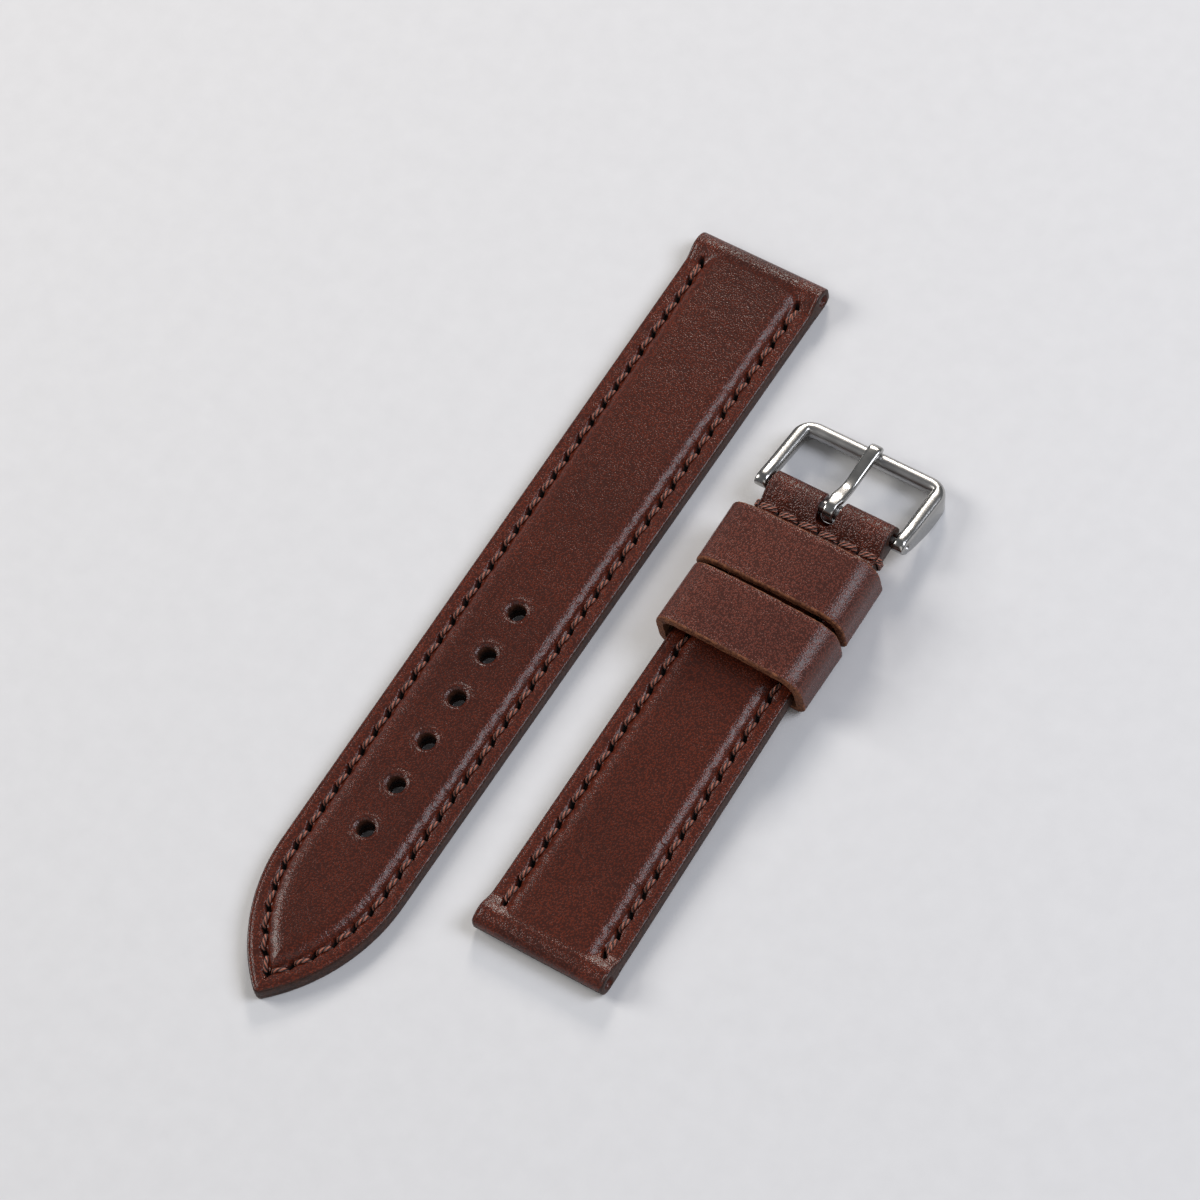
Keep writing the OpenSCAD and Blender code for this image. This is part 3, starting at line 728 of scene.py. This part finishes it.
# The first column of faces that shows the dyed skin, and the first that doesn't again
SKIN_FIRST = len(WALL_SHARES) + 2
SKIN_END = SKIN_FIRST + 2 * SIDE_COLUMNS - 5
SKIN_MERGE = 0.0012
# A depth from the edge that stands for the underside
UNDERSIDE = 9.0
# A warmer band on the crown's shoulders, a painted glow: (how much, place, width)
SHOULDER_PAINTED_GLOW = (0.65, 2.9, 1.2)


def strap_cover(name, rows, outline, top, under, creased, to_world):
    """The cover as a closed loft: each row runs over the top, down the walls and back below."""
    table = []
    for s in rows:
        (ex, ey), (nx, ny), half = outline(s)
        low = under(ey)
        halves = []
        for side in (-1, 1):
            line = []
            for d in depths(half):
                x, y = side * (ex + nx * d), ey + ny * d
                z, pit = top(d, s, x, y, side)
                x += side * PROUD * (1 - min(d, 1.0))
                line.append((x, y, z - edge_drop(d), d, pit))
            x, y, z = line[0][:3]
            wall = [(x, y, low + (z - low) * share, 0.0, 0.0) for share in WALL_SHARES]
            wall[0] = (x - side * LAYER_LINE, y, low, 0.0, 0.0)
            halves.append(wall + line)
        ring = halves[0] + halves[1][-2::-1]
        (left, far), (right, near) = ring[0][:2], ring[-1][:2]
        for k in range(1, UNDER_COLUMNS + 1):
            t = k / UNDER_COLUMNS
            ring.append((right + (left - right) * t, near + (far - near) * t, low, UNDERSIDE, 0.0))
        table.append(ring)

    def place(i, j):
        x, y, z, d, pit = table[j][i]
        # Warmer towards the edges, with a painted glow on the crown's shoulders
        warm_and_glow = 0.35 * (1 - smooth((d - 0.5) / 2.6)) + dent(d, SHOULDER_PAINTED_GLOW)
        return Vector((x, y, z)), (warm_and_glow, pit, 1 - smooth((d - 0.04) / 0.2), creased(y))

    bm = mapped_grid(len(table[0]), len(rows), place,
                     lambda i, j: 0 if SKIN_FIRST <= i < SKIN_END else 1)
    return finish_mesh(bm, name, [COVER, BURNISHED], to_world, SKIN_MERGE)


def lining_top(y):
    """The cover lies on the lining, but not at the ends, where it is turned round."""
    return 0.0 if y < LINING_SETBACK else LINING_T


# Rows of points: a stitch has 16, and the lug fold's run up to the first one
ROWS_A_STITCH = 16
LUG_ROWS = fold_rows(LUG_FOLD_R) + even(LUG_FOLD_R, FIRST_STITCH - 0.6, 0.22)[:-1]
# The grain is coarser where the leather was folded: (how much, place, width)
LONG_FOLD_GRAIN = (0.5, 1.4, 1.0)
SHORT_FOLD_GRAIN = (0.15, 1.4, 1.0)
ARC_END = POINT_Y + ARC_R * TIP_TURN


def make_tail_cover():
    rows = LUG_ROWS + even(FIRST_STITCH - 0.6, ARC_END, ROW_L / ROW_COUNT / ROWS_A_STITCH)[:-1]
    rows += even(ARC_END, EDGE_L, 0.09)
    return strap_cover(
        "long_cover", rows, tail_outline, tail_top,
        lambda y: max(rounding(LUG_FOLD_R, y), lining_top(y)),
        lambda y: dent(y, LONG_FOLD_GRAIN), TO_TAIL)


def make_short_cover():
    end = SHORT_L - BUCKLE_FOLD_R
    rows = LUG_ROWS + even(FIRST_STITCH - 0.6, end, STITCH_PITCH / ROWS_A_STITCH)
    rows += [SHORT_L - y for y in reversed(fold_rows(BUCKLE_FOLD_R))]
    return strap_cover(
        "short_cover_skin", rows, short_outline, short_top,
        lambda y: max(rounding(LUG_FOLD_R, y), rounding(BUCKLE_FOLD_R, SHORT_L - y),
                      lining_top(min(y, SHORT_L - y))),
        lambda y: max(dent(y, SHORT_FOLD_GRAIN), 0.6 * smooth((y - SHORT_L + 7.5) / 2)),
        TO_SHORT)


def slot_cutter(low, high, width, depth):
    """The tongue slot's outline, a straight mouth with a round end."""
    bm = bmesh.new()
    r = width / 2
    centre_y = SHORT_L - depth + r
    made = bmesh.ops.create_circle(bm, cap_ends=True, segments=48, radius=r,
                                   matrix=Matrix.Translation((0, centre_y, low)))
    for v in made["verts"]:
        if v.co.y > centre_y + 1e-4:
            v.co.y = SHORT_L + 1
            v.co.x = math.copysign(r, v.co.x) if abs(v.co.x) > 1e-4 else 0.0
    bmesh.ops.remove_doubles(bm, verts=bm.verts, dist=0.0001)
    grown = bmesh.ops.extrude_face_region(bm, geom=bm.faces[:])
    moved = [g for g in grown["geom"] if isinstance(g, bmesh.types.BMVert)]
    bmesh.ops.translate(bm, verts=moved, vec=(0, 0, high - low))
    bmesh.ops.recalc_face_normals(bm, faces=bm.faces)
    return to_object(bm, "slot_cutter", [RAW], TO_SHORT)


LUG_BORE = (0, LUG_FOLD_R, LUG_FOLD_R)
BAR_BORE = (0, SHORT_L - BUCKLE_FOLD_R, BUCKLE_FOLD_R)
PUNCH_R = HOLE_R - 0.03
SLOT_FLOOR = STAY_T + LINING_T
UNDER_SLOT_DEPTH = 3.5


def bore_cutter(to_world, spot):
    """The tunnel of a bar."""
    return rod_cutter("bore", SUEDE, to_world, [spot], BORE_R, LUG_W + 2, True)


def punch_cutter(r):
    """The holes of the long half."""
    return rod_cutter("punch", BURNISHED, TO_TAIL, [(0, y, EDGE_T) for y in HOLE_YS], r, 8, False)


tail_cover = make_tail_cover()
cut(tail_cover, bore_cutter(TO_TAIL, LUG_BORE), punch_cutter(PUNCH_R))
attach(tail_cover, "root")
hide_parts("tail_cover")

short_cover = make_short_cover()
cut(short_cover, bore_cutter(TO_SHORT, LUG_BORE), bore_cutter(TO_SHORT, BAR_BORE),
    slot_cutter(SLOT_FLOOR, 8, SLOT_W, SLOT_DEPTH),
    slot_cutter(-2, SLOT_FLOOR + 0.2, SLOT_W - 0.04, UNDER_SLOT_DEPTH))
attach(short_cover, "root")
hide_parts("short_cover")


# Linings: the same outline, with a rounded lower edge and a shallow groove for the thread

LINING_DEPTHS = [0.0, 0.05, 0.15, 0.3, 0.8, 1.4, 1.8, 2.0, 2.15, 2.3, 2.45, 2.6, 2.8, 3.2, 4.5]
LINING_ROUND = 0.25
LINING_GROOVE = (0.4, STITCH_INSET, 0.3)
# The wall has one row of points between its foot and its top
LINING_WALL_Z = 0.6
# The burnished columns: the walls and the top
LINING_WALL = len(LINING_DEPTHS) - 3
LINING_WALL_END = len(LINING_DEPTHS) + 13


def strap_lining(name, rows, outline, to_world):
    table = []
    for s in rows:
        (ex, ey), (nx, ny), half = outline(s)
        low = []
        for d in LINING_DEPTHS + [half]:
            d = min(d, half)
            z = rounding(LINING_ROUND, d) + dent(d, LINING_GROOVE)
            low.append((ex + nx * d, ey + ny * d, z))
        ring = [(-x, y, z) for x, y, z in reversed(low)] + [(-ex, ey, LINING_WALL_Z)]
        ring += [(ex * k / 4, ey, LINING_T) for k in range(-4, 5)]
        ring += [(ex, ey, LINING_WALL_Z)] + low
        table.append(ring)
    bm = mapped_grid(len(table[0]), len(rows), lambda i, j: (Vector(table[j][i]), NO_SHADE),
                     lambda i, j: 1 if LINING_WALL <= i <= LINING_WALL_END else 0)
    return finish_mesh(bm, name, [LINING, BURNISHED], to_world, SKIN_MERGE)


tail_rows = even(LINING_SETBACK, POINT_Y, 1.6)[:-1]
tail_rows += even(POINT_Y, ARC_END, 0.8)[:-1] + even(ARC_END, EDGE_L, 0.12)
tail_lining = strap_lining("long_lining", tail_rows, tail_outline, TO_TAIL)
cut(tail_lining, punch_cutter(HOLE_R))
short_rows = even(LINING_SETBACK, SHORT_L - LINING_SETBACK, 1.6)
short_lining = strap_lining("short_lining_skin", short_rows, short_outline, TO_SHORT)
for lining, node in ((tail_lining, "tail_lining"), (short_lining, "short_lining")):
    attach(lining, "root")
    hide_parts(node)


# Thread

STITCH_SIDES = 6
STITCH_SPOTS = (0.0, 0.05, 0.13, 0.3, 0.5, 0.7, 0.87, 0.95, 1.0)
# Each stitch begins this much further along the thread's twist
PHASE_STEP = 0.37
TIGHT_R = THREAD_R * 0.9
SNUG_R = THREAD_R * 0.95
# Middle of the thread: in the lining's groove, and in the row across the buckle end
BELOW_Z = THREAD_R + 0.02
CROSS_Z = EDGE_T - 0.27


def thread_rings(points, r, phase):
    """Rings of points round a path, each with its place round and along the thread."""
    rings = []
    run = phase
    for k, p in enumerate(points):
        run += (p - points[max(k - 1, 0)]).length
        along = (points[min(k + 1, len(points) - 1)] - points[max(k - 1, 0)]).normalized()
        side = along.cross(Vector((0, 0, 1)))
        side = side.normalized() if side.length > 1e-3 else Vector((1, 0, 0))
        up = side.cross(along)
        ring = []
        for q in range(STITCH_SIDES + 1):
            a = 2 * math.pi * q / STITCH_SIDES
            spot = p + r * (math.cos(a) * side + math.sin(a) * up)
            ring.append((spot, (math.cos(a), math.sin(a), run)))
        rings.append(ring)
    return rings


def stitch_points(start, end, sink, rise):
    """A stitch from hole to hole that dips into the leather at both ends."""
    points = []
    for t in STITCH_SPOTS:
        p = start.lerp(end, t)
        e = abs(2 * t - 1)
        p.z += rise * (1 - e * e) - sink * e**7
        points.append(p)
    return points


def join_rings(bm, rings):
    """Adds one stitch's grid to bm."""
    part = mapped_grid(len(rings[0]), len(rings), lambda i, j: rings[j][i], shades=THREAD_SHADES)
    bmesh.ops.remove_doubles(part, verts=part.verts, dist=0.001)
    close_up(part)
    mesh = bpy.data.meshes.new("stitch")
    part.to_mesh(mesh)
    part.free()
    bm.from_mesh(mesh)
    bpy.data.meshes.remove(mesh)


def thread_piece(name, paths, to_world, body, *nodes):
    """All stitches of one thread: each is (points, radius)."""
    bm = bmesh.new()
    for shade in THREAD_SHADES:
        bm.verts.layers.float.new(shade)
    for k, (points, r) in enumerate(paths):
        join_rings(bm, thread_rings(points, r, PHASE_STEP * k))
    piece = to_object(bm, name, [THREAD], to_world)
    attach(piece, body)
    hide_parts(*nodes)


def on_row(outline, s, d, side, z):
    (ex, ey), (nx, ny), half = outline(s)
    d = min(d, half)
    return Vector((side * (ex + nx * d), ey + ny * d, z))


def row_stitches(places, outline, side):
    """Stitches over and under a row; places are measured along the edge."""
    reach = SLIT_L / 2 * math.cos(SLIT_TURN) + 0.08
    lean = side * SLIT_L / 2 * math.sin(SLIT_TURN)
    paths = []
    for k in range(len(places) - 1):
        wobble = ripple(k * 1.7, side * 3.3, 0.2)
        size = THREAD_R * (1.08 + 0.08 * wobble)
        for z, sink, rise, r in ((EDGE_T - 0.06, 0.75, 0.1, size), (BELOW_Z, -0.5, 0.0, TIGHT_R)):
            near = STITCH_INSET + lean + 0.04 * wobble
            start = on_row(outline, places[k] + reach, near, side, z)
            end = on_row(outline, places[k + 1] - reach, STITCH_INSET - lean, side, z)
            paths.append((stitch_points(start, end, sink, rise), r))
    # The first stitch is sewn twice
    start = on_row(outline, places[0] + 0.2, STITCH_INSET - 0.22, side, EDGE_T - 0.04)
    end = on_row(outline, places[1] - reach, STITCH_INSET - 0.28, side, EDGE_T - 0.1)
    paths.append((stitch_points(start, end, 0.7, 0.1), THREAD_R))
    return paths


tail_paths = row_stitches(TAIL_STITCHES, tail_outline, 1)
tail_paths += row_stitches(TAIL_STITCHES, tail_outline, -1)
thread_piece("long_thread", tail_paths, TO_TAIL, "root", "tail_thread")
thread_piece("short_thread_row_right", row_stitches(SHORT_STITCHES, short_outline, 1),
             TO_SHORT, "root", "short_thread_right")
thread_piece("short_thread_row_left", row_stitches(SHORT_STITCHES, short_outline, -1),
             TO_SHORT, "root", "short_thread_left")


def cross_row():
    """The row across the buckle end: two strands a stitch, and turns over both edges."""
    half = short_half(CROSS_Y)
    pitch = 2 * half / CROSS_STITCHES
    paths = []
    for k in range(CROSS_STITCHES):
        left, right = k * pitch - half, (k + 1) * pitch - half
        for strand in (-0.19, 0.2):
            a = Vector((left + 0.3, CROSS_Y + strand - 0.14, CROSS_Z))
            b = Vector((right - 0.3, CROSS_Y + strand + 0.18, CROSS_Z))
            rise = 0.2 + 0.12 * ripple(k * 2.3, strand, 0.7)
            paths.append((stitch_points(a, b, 0.55, rise), TIGHT_R))
        a, b = (Vector((x, CROSS_Y, BELOW_Z)) for x in (left, right))
        paths.append((stitch_points(a, b, -0.4, 0.0), TIGHT_R))
    for side in (-1, 1):
        for strand in (-0.25, 0.25):
            wrap = []
            for k in range(9):
                a = math.pi * k / 8
                wrap.append(Vector((side * (half - 0.1 + (THREAD_R + 0.12) * math.sin(a)),
                                    CROSS_Y + strand,
                                    EDGE_T / 2 + (EDGE_T / 2 - 0.05) * math.cos(a))))
            paths.append((wrap, SNUG_R))
    return paths


thread_piece("cross_thread_row", cross_row(), TO_SHORT, "root", "cross_thread")


# Keepers

KEEPER_TOP = EDGE_T + CROWN_RISE + KEEPER_ROOM + KEEPER_T
SHOULDER_R = KEEPER_T + 2.2
FOOT_R = KEEPER_T + 0.5
# The outer corners of the cut edges are this soft
KEEPER_SOFT = 0.28
# The edges are uneven as far in as this
RAGGED_L = 0.5


def keeper_path(z0):
    """Points and outward normals round a keeper's closed outline, in its own plane."""
    half, top_r, foot_r = (KEEPER_IN_W + 2 * KEEPER_T) / 2, SHOULDER_R, FOOT_R
    dome_r = (half**2 + KEEPER_DOME**2) / (2 * KEEPER_DOME)
    dome_z = KEEPER_TOP - dome_r
    corner_x = half - top_r
    corner_z = dome_z + math.sqrt((dome_r - top_r) ** 2 - corner_x**2)
    meet = math.asin(corner_x / (dome_r - top_r))
    points = []

    def arc(cx, cz, r, start, end, count):
        for k in range(count):
            a = start + (end - start) * k / count
            n = Vector((math.cos(a), 0, math.sin(a)))
            points.append((Vector((cx, 0, cz)) + r * n, n))

    def line(ax, az, bx, bz, nx, nz, count):
        for k in range(count):
            t = k / count
            points.append((Vector((ax + (bx - ax) * t, 0, az + (bz - az) * t)),
                           Vector((nx, 0, nz))))

    quarter = math.pi / 2
    arc(0, dome_z, dome_r, quarter - meet, quarter + meet, 36)
    arc(-corner_x, corner_z, top_r, quarter + meet, math.pi, 12)
    line(-half, corner_z, -half, z0 + foot_r, -1, 0, 8)
    arc(-half + foot_r, z0 + foot_r, foot_r, math.pi, 3 * quarter, 8)
    line(-half + foot_r, z0, half - foot_r, z0, 0, -1, 24)
    arc(half - foot_r, z0 + foot_r, foot_r, -quarter, 0, 8)
    line(half, z0 + foot_r, half, corner_z, 1, 0, 8)
    arc(corner_x, corner_z, top_r, 0, quarter - meet, 12)
    return points


def wall_section():
    """A keeper wall's section, as (inwards from the outer face, along the strap, part)."""
    t, length, soft = KEEPER_T, KEEPER_L, KEEPER_SOFT
    turn = [math.pi / 2 * k / 5 for k in range(1, 5)]
    section = [(0.0, soft + (length - 2 * soft) * k / 11, 0) for k in range(12)]
    section += [(soft * (1 - math.cos(a)), length - soft + soft * math.sin(a), 1) for a in turn]
    section += [(soft + (t - soft) * k / 3, length, 1) for k in range(4)]
    section += [(t, length * (1 - k / 8), 2) for k in range(1, 8)]
    section += [(t - (t - soft) * k / 3, 0.0, 1) for k in range(4)]
    section += [(soft * (1 - math.sin(a)), soft * (1 - math.cos(a)), 1) for a in turn]
    return section + section[:1]


def make_keeper(name, node, thread_node, body, y, floor_z, turned=0.0, pushed=0.0):
    """One loop of leather with soft shoulders and raw cut edges, a little askew where turned."""
    path = keeper_path(floor_z - KEEPER_T)
    path.append(path[0])
    section = wall_section()

    def place(i, j):
        depth, along, part = section[i]
        spot, out = path[j % (len(path) - 1)]
        p = spot - out * depth
        at = y + along
        if along < RAGGED_L or along > KEEPER_L - RAGGED_L:
            if part == 1:
                at += 0.06 * ripple(spot.x * 2.3, spot.z * 2.3, along + y)
            at += 0.05 * ripple(spot.x * 0.9, spot.z * 0.9, y)
        p.y = at
        # Warmer near the cut ends: partly real tone, partly a painted highlight on the bevel
        margin = 1 - smooth(min(along, KEEPER_L - along) / 1.2)
        if turned:
            back = p.y - y
            p.x, p.y = (p.x * math.cos(turned) - back * math.sin(turned),
                        p.y + p.x * math.sin(turned) + pushed)
        return p, (margin, 0.0, 0.0, 0.3 * margin)

    bm = mapped_grid(len(section), len(path), place,
                     lambda i, j: section[i][2] if i < len(section) - 2 else 1)
    piece = finish_mesh(bm, name, [KEEPER, RAW, SUEDE], TO_SHORT)
    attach(piece, body)
    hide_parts(node)
    step = KEEPER_L / 4
    seam = []
    for k in range(3):
        a = Vector((-0.15, y + (k + 0.5) * step, floor_z - KEEPER_T + THREAD_R + 0.01))
        b = Vector((0.15, y + (k + 1.5) * step, a.z))
        seam.append((stitch_points(a, b, -0.3, 0.0), SNUG_R))
    thread_piece(name + "_seam", seam, TO_SHORT, body, thread_node)


FIXED_Y = SHORT_L - FIXED_KEEPER_SETBACK - KEEPER_L
FREE_Y = FIXED_Y - KEEPER_GAP - KEEPER_L
make_keeper("fixed_keeper_loop", "fixed_keeper", "fixed_keeper_thread", "root", FIXED_Y, 0.0)
make_keeper("free_keeper_loop", "free_keeper", "free_keeper_thread", "free_keeper",
            FREE_Y, -FREE_KEEPER_GAP, math.radians(-1.2), 0.4)


# Buckle frame: one closed sweep round three sides, with mitred inner corners

BAR_Y = FRAME_L - BAR_R
CORNER_Y = FRAME_L - FRAME_CORNER_R
ARM_X = FRAME_W / 2 - BAR_R
BEND_R = FRAME_CORNER_R - BAR_R
EAR_TOP = 1.08
# The ears' swelling, and the blocks that hold the bar's tips, fade out along the arms
SWELL_L = 3.2
BLOCK_Y = 0.4
BLOCK_L = 1.4
# An ear's round nose draws its sides in by this much
NOSE_PULL = 0.25
# The bar is brushed from this station on, in the corner
BRUSHED_FROM = 37


def skirt_depth(y):
    return math.sqrt(max(SKIRT_R**2 - (y - SKIRT_Y) ** 2, 0.0)) - SKIRT_Z


def frame_stations():
    """Along the left arm, its corner and half the bar: each station's centre and outward way."""
    ys = [-EAR_R * math.cos(math.pi / 2 * k / 11) for k in range(12)]
    ys += [CORNER_Y * (k / 20) ** 1.2 for k in range(1, 21)]
    stations = [((-ARM_X, y), (-1, 0)) for y in ys]
    for k in range(1, 13):
        a = math.pi - math.pi / 2 * k / 12
        way = (math.cos(a), math.sin(a))
        stations.append(((BEND_R - ARM_X + BEND_R * way[0], CORNER_Y + BEND_R * way[1]), way))
    for k in range(1, 10):
        stations.append((((BEND_R - ARM_X) * (1 - k / 9), BAR_Y), (0, 1)))
    return stations


def frame_section(way, y):
    """The section across the frame, as (outwards, up), beginning at the outer foot."""
    nose = math.sqrt(max(1 - (y / EAR_R) ** 2, 0.0)) if y < 0 else 1.0
    swell = 1 - smooth(y / SWELL_L)
    arm = ARM_END_R + (BAR_R - ARM_END_R) * min(max(y, 0.0) / CORNER_Y, 1.0)
    bar = 1 - abs(way[0]) ** 4
    block = 1 - smooth((y - BLOCK_Y) / BLOCK_L)
    height = (arm + (EAR_TOP - ARM_END_R) * swell) * nose
    foot = (skirt_depth(max(y, 0.0)) + (EAR_R - SKIRT_END_DEPTH) * swell) * nose
    pull = NOSE_PULL * (1 - nose)
    outer = BAR_R - 0.02 - pull
    inner = pull - arm - 0.06 * block
    if 0 < abs(way[0]) < 1:
        inner = max(inner, 0.8 / max(abs(way[0]), abs(way[1])) - BEND_R)
    wall = (BAR_R - SKIRT_T) * (1 - block) + inner * block
    middle, half = (outer + inner) / 2, (outer - inner) / 2
    power = 0.72 + 0.2 * bar
    shape = [(outer, -foot * (1 - k / 5)) for k in range(1, 5)]
    for k in range(17):
        a = math.pi * k / 16
        c, h = math.cos(a), math.sin(a)
        shape.append((middle + half * math.copysign(abs(c) ** power, c), height * h**power))
    low = -min(height, foot)
    for k in range(1, 7):
        a = math.pi / 2 * k / 6
        round_u = inner + (wall - inner) * (1 - math.cos(a))
        shape.append((round_u, low * math.sin(a) ** 0.9))
    shape += [(wall, low + (-foot - low) * k / 4) for k in range(1, 4)]
    edge = min(0.16, foot * 0.3, (outer - wall) * 0.3)
    shape += [(wall, -foot + edge), (wall + edge, -foot),
              (outer - edge, -foot), (outer, -foot + edge)]
    return shape + shape[:1]


def make_frame():
    half = frame_stations()
    sections = [frame_section(way, centre[1]) for centre, way in half]
    count = 2 * len(half) - 1

    def place(i, j):
        k = min(j, count - 1 - j)
        (x, y), way = half[k]
        u, v = sections[k][i]
        spot = Vector((x + way[0] * u, y + way[1] * u, v))
        if j > k:
            spot.x = -spot.x
        return spot, NO_SHADE

    bm = mapped_grid(len(sections[0]), count, place,
                     lambda i, j: 0 if BRUSHED_FROM <= j < count - 1 - BRUSHED_FROM else 1)
    piece = finish_mesh(bm, "buckle_frame_steel", [STEEL_BRUSHED, STEEL_POLISHED], TO_FRAME,
                        merge=0.004, smooth_angle=44)
    cut(piece, rod_cutter("ear_bore", STEEL_TURNED, TO_FRAME, [(0, 0, 0)], EAR_HOLE_R,
                          FRAME_W + 2, True))
    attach(piece, "buckle")
    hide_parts("buckle_frame")


make_frame()


# Tongue: a strip that wraps the spring bar and rests on the buckle's bar

TONGUE_LOOP_R = TONGUE_EYE_R + TONGUE_LOOP_T
REST_Z = BAR_R + TONGUE_GAP + TONGUE_T / 2
TONGUE_END_Y = BAR_Y + 0.75 * BAR_R
LOOP_W = 1.6
TONGUE_SIDES = 28
# Middle line as (along, up, width, thickness), from the top of the loop to the end
TONGUE_LINE = [
    (0.0, TONGUE_LOOP_R - 0.4, LOOP_W, 0.8),
    (0.8 * TONGUE_LOOP_R, TONGUE_LOOP_R - TONGUE_T / 2, 2.15, 1.05),
    (0.38 * BAR_Y, TONGUE_T / 2, 1.7, 1.05),
    (BAR_Y - BAR_R, REST_Z - 0.15 * TONGUE_T, 1.9, 1.05),
    (BAR_Y, REST_Z, 2.0, 1.05),
    (TONGUE_END_Y, REST_Z - 0.2 * TONGUE_T, 1.95, 0.85),
]


def tongue_stations():
    stations = []
    ring = (TONGUE_EYE_R + TONGUE_LOOP_R) / 2
    for k in range(25):
        a = math.radians(-12 - 258 * k / 24)
        stations.append(Vector((ring * math.cos(a), ring * math.sin(a), LOOP_W, TONGUE_LOOP_T)))
    line = [Vector(p) for p in TONGUE_LINE]
    for k in range(1, len(line) - 1):
        before = line[k] + (line[k - 1] - line[k]) * 0.32
        after = line[k] + (line[k + 1] - line[k]) * 0.32
        for q in range(7):
            t = q / 6
            stations.append(before * (1 - t) ** 2 + line[k] * 2 * t * (1 - t) + after * t * t)
    end = line[-1]
    tip = (line[-1] - line[-2]).normalized()
    for back, shrink in ((0.3, 1.0), (0.16, 0.97), (0.06, 0.88), (0.0, 0.7)):
        p = end - tip * back
        stations.append(Vector((p[0], p[1], end[2] * shrink, end[3] * shrink)))
    return stations


def make_tongue():
    stations = tongue_stations()

    def place(i, j):
        here = stations[j]
        ahead = stations[min(j + 1, len(stations) - 1)]
        behind = stations[max(j - 1, 0)]
        dy, dz = ahead[0] - behind[0], ahead[1] - behind[1]
        size = math.hypot(dy, dz)
        up_y, up_z = -dz / size, dy / size
        a = 2 * math.pi * i / TONGUE_SIDES
        c, h = math.cos(a), math.sin(a)
        across = here[2] / 2 * math.copysign(abs(c) ** 0.45, c)
        above = here[3] / 2 * math.copysign(abs(h) ** 0.6, h)
        return Vector((across, here[0] + up_y * above, here[1] + up_z * above)), NO_SHADE

    bm = mapped_grid(TONGUE_SIDES + 1, len(stations), place)
    piece = finish_mesh(bm, "tongue_steel_strip", [STEEL_POLISHED], TO_FRAME, merge=0.003,
                        smooth_angle=50)
    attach(piece, "tongue")
    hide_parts("tongue")


make_tongue()


# Finishes of the parts that keep their construction shape


def dress(node, material):
    materials = frame["nodes"][node].data.materials
    materials.clear()
    materials.append(material)


for node in ("tail_pad", "short_pad"):
    dress(node, FELT)
for node in ("tail_stay", "short_stay"):
    dress(node, TAPE)
for part in ("tube", "tip_left", "tip_right", "spring"):
    dress("spring_bar_" + part, STEEL_TURNED)


# Floor, light and camera

FLOOR_HALF = 1500.0
LAMP_DISTANCE = 0.9


def stage_floor():
    bm = bmesh.new()
    bmesh.ops.create_grid(bm, x_segments=2, y_segments=2, size=FLOOR_HALF)
    material, net, shader, place = new_material("floor_paper")
    tone = net.noise(place, 300.0, 4.0)
    net.plug(shader["Base Color"], net.mix(tone, rgb(208, 208, 209), rgb(216, 216, 217)))
    net.plug(shader["Roughness"], 0.85)
    floor = to_object(bm, "floor", [material], Matrix())
    floor.location.z = -0.02 * MM


def soft_box(name, toward, size, power, tone):
    """A square lamp that faces the strap from the direction toward."""
    lamp = bpy.data.lights.new(name, "AREA")
    lamp.shape = "SQUARE"
    lamp.size = size
    lamp.energy = power
    lamp.color = tone
    thing = add_object(name, lamp)
    direction = Vector(toward).normalized()
    thing.location = direction * LAMP_DISTANCE
    thing.rotation_euler = direction.to_track_quat("Z", "Y").to_euler()


def studio_world():
    world = bpy.data.worlds.new("studio")
    world.use_nodes = True
    net = Net(world.node_tree)
    background = world.node_tree.nodes["Background"].inputs
    net.plug(background["Color"], (0.88, 0.91, 0.95, 1.0))
    # Paler where the camera sees it, which lights nothing
    seen = net.add("LightPath").outputs["Is Camera Ray"]
    net.plug(background["Strength"], net.math("MULTIPLY_ADD", seen, 0.55, 0.2))
    bpy.context.scene.world = world


# The photograph's view: turned and tipped about the point it looks at
VIEW_AZIMUTH = math.radians(-45.9)
VIEW_ELEVATION = math.radians(60.1)
VIEW_ROLL = math.radians(-15.2)
VIEW_DISTANCE = 0.7
VIEW_LENS = 158.6
VIEW_TARGET = Vector((TAIL_X + 7.4, 7.9, 0)) * MM


def add_camera():
    az, el, roll = VIEW_AZIMUTH, VIEW_ELEVATION, VIEW_ROLL
    back = Vector((-math.sin(az) * math.cos(el), -math.cos(az) * math.cos(el), math.sin(el)))
    right = Vector((0, 0, 1)).cross(back).normalized()
    up = back.cross(right)
    across = math.cos(roll) * right + math.sin(roll) * up
    above = math.cos(roll) * up - math.sin(roll) * right
    data = bpy.data.cameras.new("photo_view")
    data.sensor_width = 36.0
    data.lens = VIEW_LENS
    data.clip_start = 0.01
    camera = add_object("photo_view", data)
    rotation = Matrix((across, above, back)).transposed().to_4x4()
    camera.matrix_world = Matrix.Translation(VIEW_TARGET + back * VIEW_DISTANCE) @ rotation
    bpy.context.scene.camera = camera


stage_floor()
studio_world()
soft_box("key_left", (-0.86, -0.2, 0.6), 0.4, 4.6, (1.0, 0.97, 0.93))
soft_box("sheen_right", (0.62, 0.35, 0.7), 0.46, 5.0, (0.88, 0.91, 1.0))
soft_box("far_side", (-0.36, 0.79, 0.49), 0.2, 3.2, (1.0, 0.93, 0.86))
soft_box("front_fill", (0.3, -0.72, 0.62), 0.6, 1.0, (1.0, 0.98, 0.96))
add_camera()
bpy.context.scene.view_settings.view_transform = "Standard"
